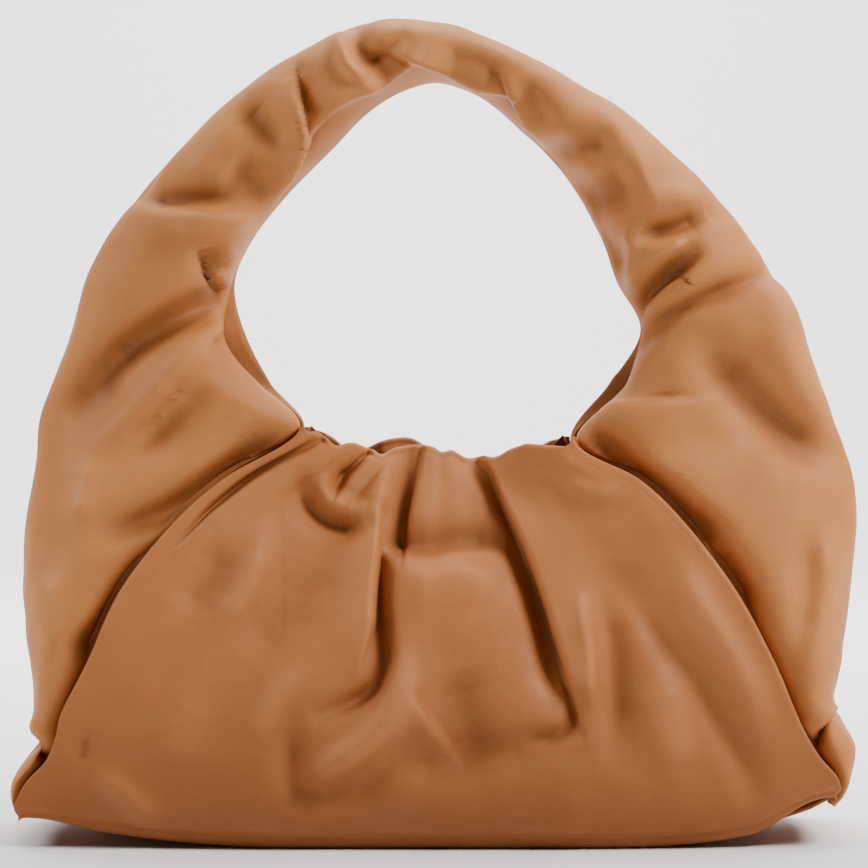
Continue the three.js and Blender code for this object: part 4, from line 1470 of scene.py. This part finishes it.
@dataclass(frozen=True)
class LeatherFinish:
    """Finish of one leather: tones in linear colour, gloss and grain, with painted shade in the fold
    hollows and near the ground and a painted highlight on the fold crests.
    """

    name: str
    tone: tuple[float, float, float]
    # darker colour: for random patches of tone, and for the painted shade near the ground
    deep: tuple[float, float, float]
    # colour of the painted highlight on the fold crests
    crest_highlight: tuple[float, float, float]
    # colour of the painted shade in deep fold hollows
    hollow: tuple[float, float, float] = (0.25, 0.075, 0.018)
    rough: float = 0.6
    rough_spread: float = 0.1
    pebble: float = 900.0
    bump: float = 0.00012
    sheen: float = 0.0
    patch: float = 22.0
    # share of painted shade toward the deep colour near the ground
    ground_painted_shade: float = 0.8

    def make(self, groups: dict[str, bpy.types.NodeTree]) -> bpy.types.Material:
        """Builds the material from the shared groups.

        Args:
            groups: the shared node groups by name.

        Returns:
            The material.
        """
        material = bpy.data.materials.new(self.name)
        material.use_nodes = True
        material.node_tree.nodes.clear()
        sheet = NodeSheet(material.node_tree)
        shader = sheet.add("ShaderNodeBsdfPrincipled")
        output = sheet.add("ShaderNodeOutputMaterial")
        sheet.join(shader.outputs[0], output.inputs["Surface"])
        place = sheet.add("ShaderNodeTexCoord").outputs["Object"]
        grain = sheet.add("ShaderNodeGroup", node_tree=groups["grain"])
        sheet.join(place, grain.inputs["Place"])
        grain.inputs["Pebble Scale"].default_value = self.pebble
        grain.inputs["Pore Scale"].default_value = self.pebble * 2.2
        patina = sheet.add("ShaderNodeGroup", node_tree=groups["patina"])
        sheet.join(place, patina.inputs["Place"])
        patina.inputs["Patch Scale"].default_value = self.patch
        fold = sheet.add("ShaderNodeGroup", node_tree=groups["fold"])
        height = sheet.add("ShaderNodeAttribute", attribute_name="fold_height")
        sheet.join(height.outputs["Fac"], fold.inputs["Fold Height"])
        sheet.join(patina.outputs["Cloud"], fold.inputs["Cloud"])
        cloud = sheet.span(patina.outputs["Cloud"], 0.3, 0.7, 0.0, 0.4)
        colour = sheet.mix(cloud, (*self.tone, 1), (*self.deep, 1))
        # painted shade: the leather is mixed toward the deep colour near the ground
        foot = sheet.math("MULTIPLY", patina.outputs["Foot"], self.ground_painted_shade)
        colour = sheet.mix(foot, colour, (*self.deep, 1))
        # painted shade: the fold hollows are mixed toward the dark hollow colour
        hollow = sheet.math("MULTIPLY", fold.outputs["Hollow"], 0.65)
        colour = sheet.mix(hollow, colour, (*self.hollow, 1))
        # painted highlight: the fold crests are mixed toward the light crest colour
        crest = sheet.math("MULTIPLY", fold.outputs["Crest"], 0.4)
        colour = sheet.mix(crest, colour, (*self.crest_highlight, 1))
        speck = sheet.span(grain.outputs["Speck"], 0.3, 0.7, 0.93, 1.05)
        tint = sheet.add("ShaderNodeCombineColor")
        for channel in tint.inputs:
            sheet.join(speck, channel)
        colour = sheet.mix(1.0, colour, tint.outputs[0], "MULTIPLY")
        sheet.join(colour, shader.inputs["Base Color"])
        low, high = self.rough - self.rough_spread, self.rough + self.rough_spread
        gloss = sheet.span(patina.outputs["Cloud"], 0.3, 0.7, low, high)
        sheet.join(gloss, shader.inputs["Roughness"])
        crease = sheet.math("MULTIPLY", patina.outputs["Crease"], -0.5)
        relief = sheet.math("ADD", grain.outputs["Height"], crease)
        bump = sheet.add("ShaderNodeBump")
        bump.inputs["Strength"].default_value = 0.55
        bump.inputs["Distance"].default_value = self.bump
        sheet.join(relief, bump.inputs["Height"])
        sheet.join(bump.outputs[0], shader.inputs["Normal"])
        shader.inputs["Sheen Weight"].default_value = self.sheen
        shader.inputs["Sheen Roughness"].default_value = 0.4
        shader.inputs["Specular IOR Level"].default_value = 0.2
        return material


PANEL_FINISH = LeatherFinish(
    "panel_leather", (0.465, 0.163, 0.048), (0.28, 0.088, 0.024), (0.56, 0.22, 0.076)
)
BAND_FINISH = LeatherFinish(
    "strap_leather", (0.52, 0.196, 0.055), (0.38, 0.13, 0.034), (0.61, 0.25, 0.082), ground_painted_shade=0.3
)
SOLE_FINISH = LeatherFinish(
    "base_leather", (0.36, 0.11, 0.026), (0.28, 0.08, 0.018), (0.42, 0.15, 0.045), rough=0.55
)
FLESH_FINISH = LeatherFinish(
    "flesh_side", (0.44, 0.17, 0.06), (0.34, 0.12, 0.036), (0.48, 0.2, 0.08), rough=0.75, sheen=0.25
)


# Studio


@dataclass(frozen=True)
class StudioLight:
    """Square soft light: its place, its side, its power and the point that it looks at."""

    name: str
    place: tuple[float, float, float]
    size: float
    power: float
    aim: tuple[float, float, float] = (0.0, 0.0, 0.18)


STUDIO_LIGHTS = (
    StudioLight("key_light", (0.85, -0.45, 1.05), 0.5, 22.0),
    StudioLight("left_light", (-0.9, -0.2, 0.8), 0.5, 8.0),
    StudioLight("edge_light", (0.75, 0.25, 0.9), 0.5, 2.5),
    StudioLight("back_light", (0.0, 1.3, 2.6), 2.4, 340.0, aim=(0.0, 4.0, 0.18)),
)


@dataclass
class Studio:
    """Pale floor with a curved backdrop, soft lights, and the camera at the photograph's angle."""

    reach: float = 1.5
    lens_height: float = 0.1923
    lens: float = 128.5
    floor_half: float = 3.0
    floor_round: float = 0.9
    wall_rise: float = 2.4
    floor_tone: float = 0.86
    surround: float = 0.03

    def build_floor(self) -> None:
        """Floor and backdrop in one sheet: flat, then a quarter circle, then upright."""
        steps = np.linspace(0, 1, 49)
        turn = np.clip((steps - 0.5) / 0.25, 0, 1) * np.pi / 2
        flat = np.minimum(steps / 0.5, 1) * 2 * self.floor_half - self.floor_half
        rise = np.clip((steps - 0.75) / 0.25, 0, 1) * self.wall_rise
        y = flat + self.floor_round * np.sin(turn)
        z = self.floor_round * (1 - np.cos(turn)) + rise
        x = np.linspace(-self.floor_half - 1, self.floor_half + 1, 9)[:, None]
        points = np.stack(np.broadcast_arrays(x, y[None, :], z[None, :]), -1)
        mesh = bpy.data.meshes.new("studio_floor")
        cells = grid_cells(points.shape, 0)
        mesh.from_pydata(points.reshape(-1, 3).tolist(), [], cells.tolist())
        mesh.polygons.foreach_set("use_smooth", np.ones(len(cells), bool))
        floor = bpy.data.objects.new("studio_floor", mesh)
        bpy.context.scene.collection.objects.link(floor)
        material = bpy.data.materials.new("pale_floor")
        material.use_nodes = True
        shader = material.node_tree.nodes["Principled BSDF"]
        shader.inputs["Base Color"].default_value = (self.floor_tone,) * 3 + (1.0,)
        shader.inputs["Roughness"].default_value = 0.85
        mesh.materials.append(material)

    def build_lights(self) -> None:
        """Three soft lights on the bag, one on the backdrop, and a dim white surround."""
        for light in STUDIO_LIGHTS:
            data = bpy.data.lights.new(light.name, "AREA")
            data.size = light.size
            data.energy = light.power
            lamp = bpy.data.objects.new(light.name, data)
            bpy.context.scene.collection.objects.link(lamp)
            lamp.location = light.place
            lamp.rotation_euler = look_along(np.subtract(light.aim, light.place))
        world = bpy.data.worlds.new("pale_surround")
        world.use_nodes = True
        back = world.node_tree.nodes["Background"]
        back.inputs["Color"].default_value = (1.0, 1.0, 1.0, 1.0)
        back.inputs["Strength"].default_value = self.surround
        bpy.context.scene.world = world

    def build_camera(self) -> None:
        """Level camera in front of the bag's middle, above the floor."""
        data = bpy.data.cameras.new("photo_camera")
        data.lens = self.lens
        data.sensor_width = 36.0
        data.clip_end = 50.0
        camera = bpy.data.objects.new("photo_camera", data)
        bpy.context.scene.collection.objects.link(camera)
        camera.location = (0.0, -self.reach, self.lens_height)
        camera.rotation_euler = (math.pi / 2, 0.0, 0.0)
        bpy.context.scene.camera = camera

    def build(self) -> None:
        """Builds the floor, the lights and the camera."""
        self.build_floor()
        self.build_lights()
        self.build_camera()


def look_along(aim: np.ndarray) -> tuple[float, float, float]:
    """Turn that points an object's -Z along a direction.

    Args:
        aim: the direction.

    Returns:
        Angles about x, y and z.
    """
    tilt = math.atan2(math.hypot(aim[0], aim[1]), -aim[2])
    return (tilt, 0.0, math.atan2(-aim[0], aim[1]))


# Whole bag


@dataclass
class ShoulderBag:
    """The whole bag: panels, band and sole with their finishes."""

    sizes: BagSizes = field(default_factory=BagSizes)

    def finishes(self) -> dict[str, bpy.types.Material]:
        """Builds the shared groups and every finish.

        Returns:
            Materials by name.
        """
        groups = {
            "grain": make_grain_group(),
            "patina": make_patina_and_ground_shade_group(),
            "fold": make_fold_group(),
        }
        kinds = (PANEL_FINISH, BAND_FINISH, SOLE_FINISH, FLESH_FINISH)
        return {kind.name: kind.make(groups) for kind in kinds}

    def dress(
        self, piece: bpy.types.Object, finish: bpy.types.Material, flesh: bpy.types.Material
    ) -> None:
        """Gives a piece its outer finish and its inner side."""
        piece.data.materials.append(finish)
        piece.data.materials.append(flesh)

    def build(self) -> list[bpy.types.Object]:
        """Builds and dresses every piece and sets it in the frame.

        Returns:
            The pieces.
        """
        materials = self.finishes()
        front = LeatherPanel(self.sizes, "front_leather", Facing.FRONT, FRONT_FOLDS, FRONT_RIM)
        back = LeatherPanel(
            self.sizes, "back_leather", Facing.BACK, BACK_FOLDS, BACK_RIM, face_columns=180, face_rows=130
        )
        plan = (
            (front, "panel_leather", ("front_panel",)),
            (back, "panel_leather", ("back_panel",)),
            (LeatherBand(self.sizes), "strap_leather", ("left_side", "right_side", "shoulder_strap")),
            (LeatherSole(self.sizes), "base_leather", ("base_panel",)),
        )
        pieces = []
        for maker, slot, nodes in plan:
            piece = maker.build()
            self.dress(piece, materials[slot], materials["flesh_side"])
            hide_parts(*nodes)
            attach(piece, "root")
            LOG.info("%s: %d faces", piece.name, len(piece.data.polygons))
            pieces.append(piece)
        return pieces


def main() -> None:
    """Builds the studio and the bag."""
    logging.basicConfig(level=logging.INFO, format="%(name)s %(message)s")
    Studio().build()
    ShoulderBag().build()


if __name__ == "__main__":
    main()
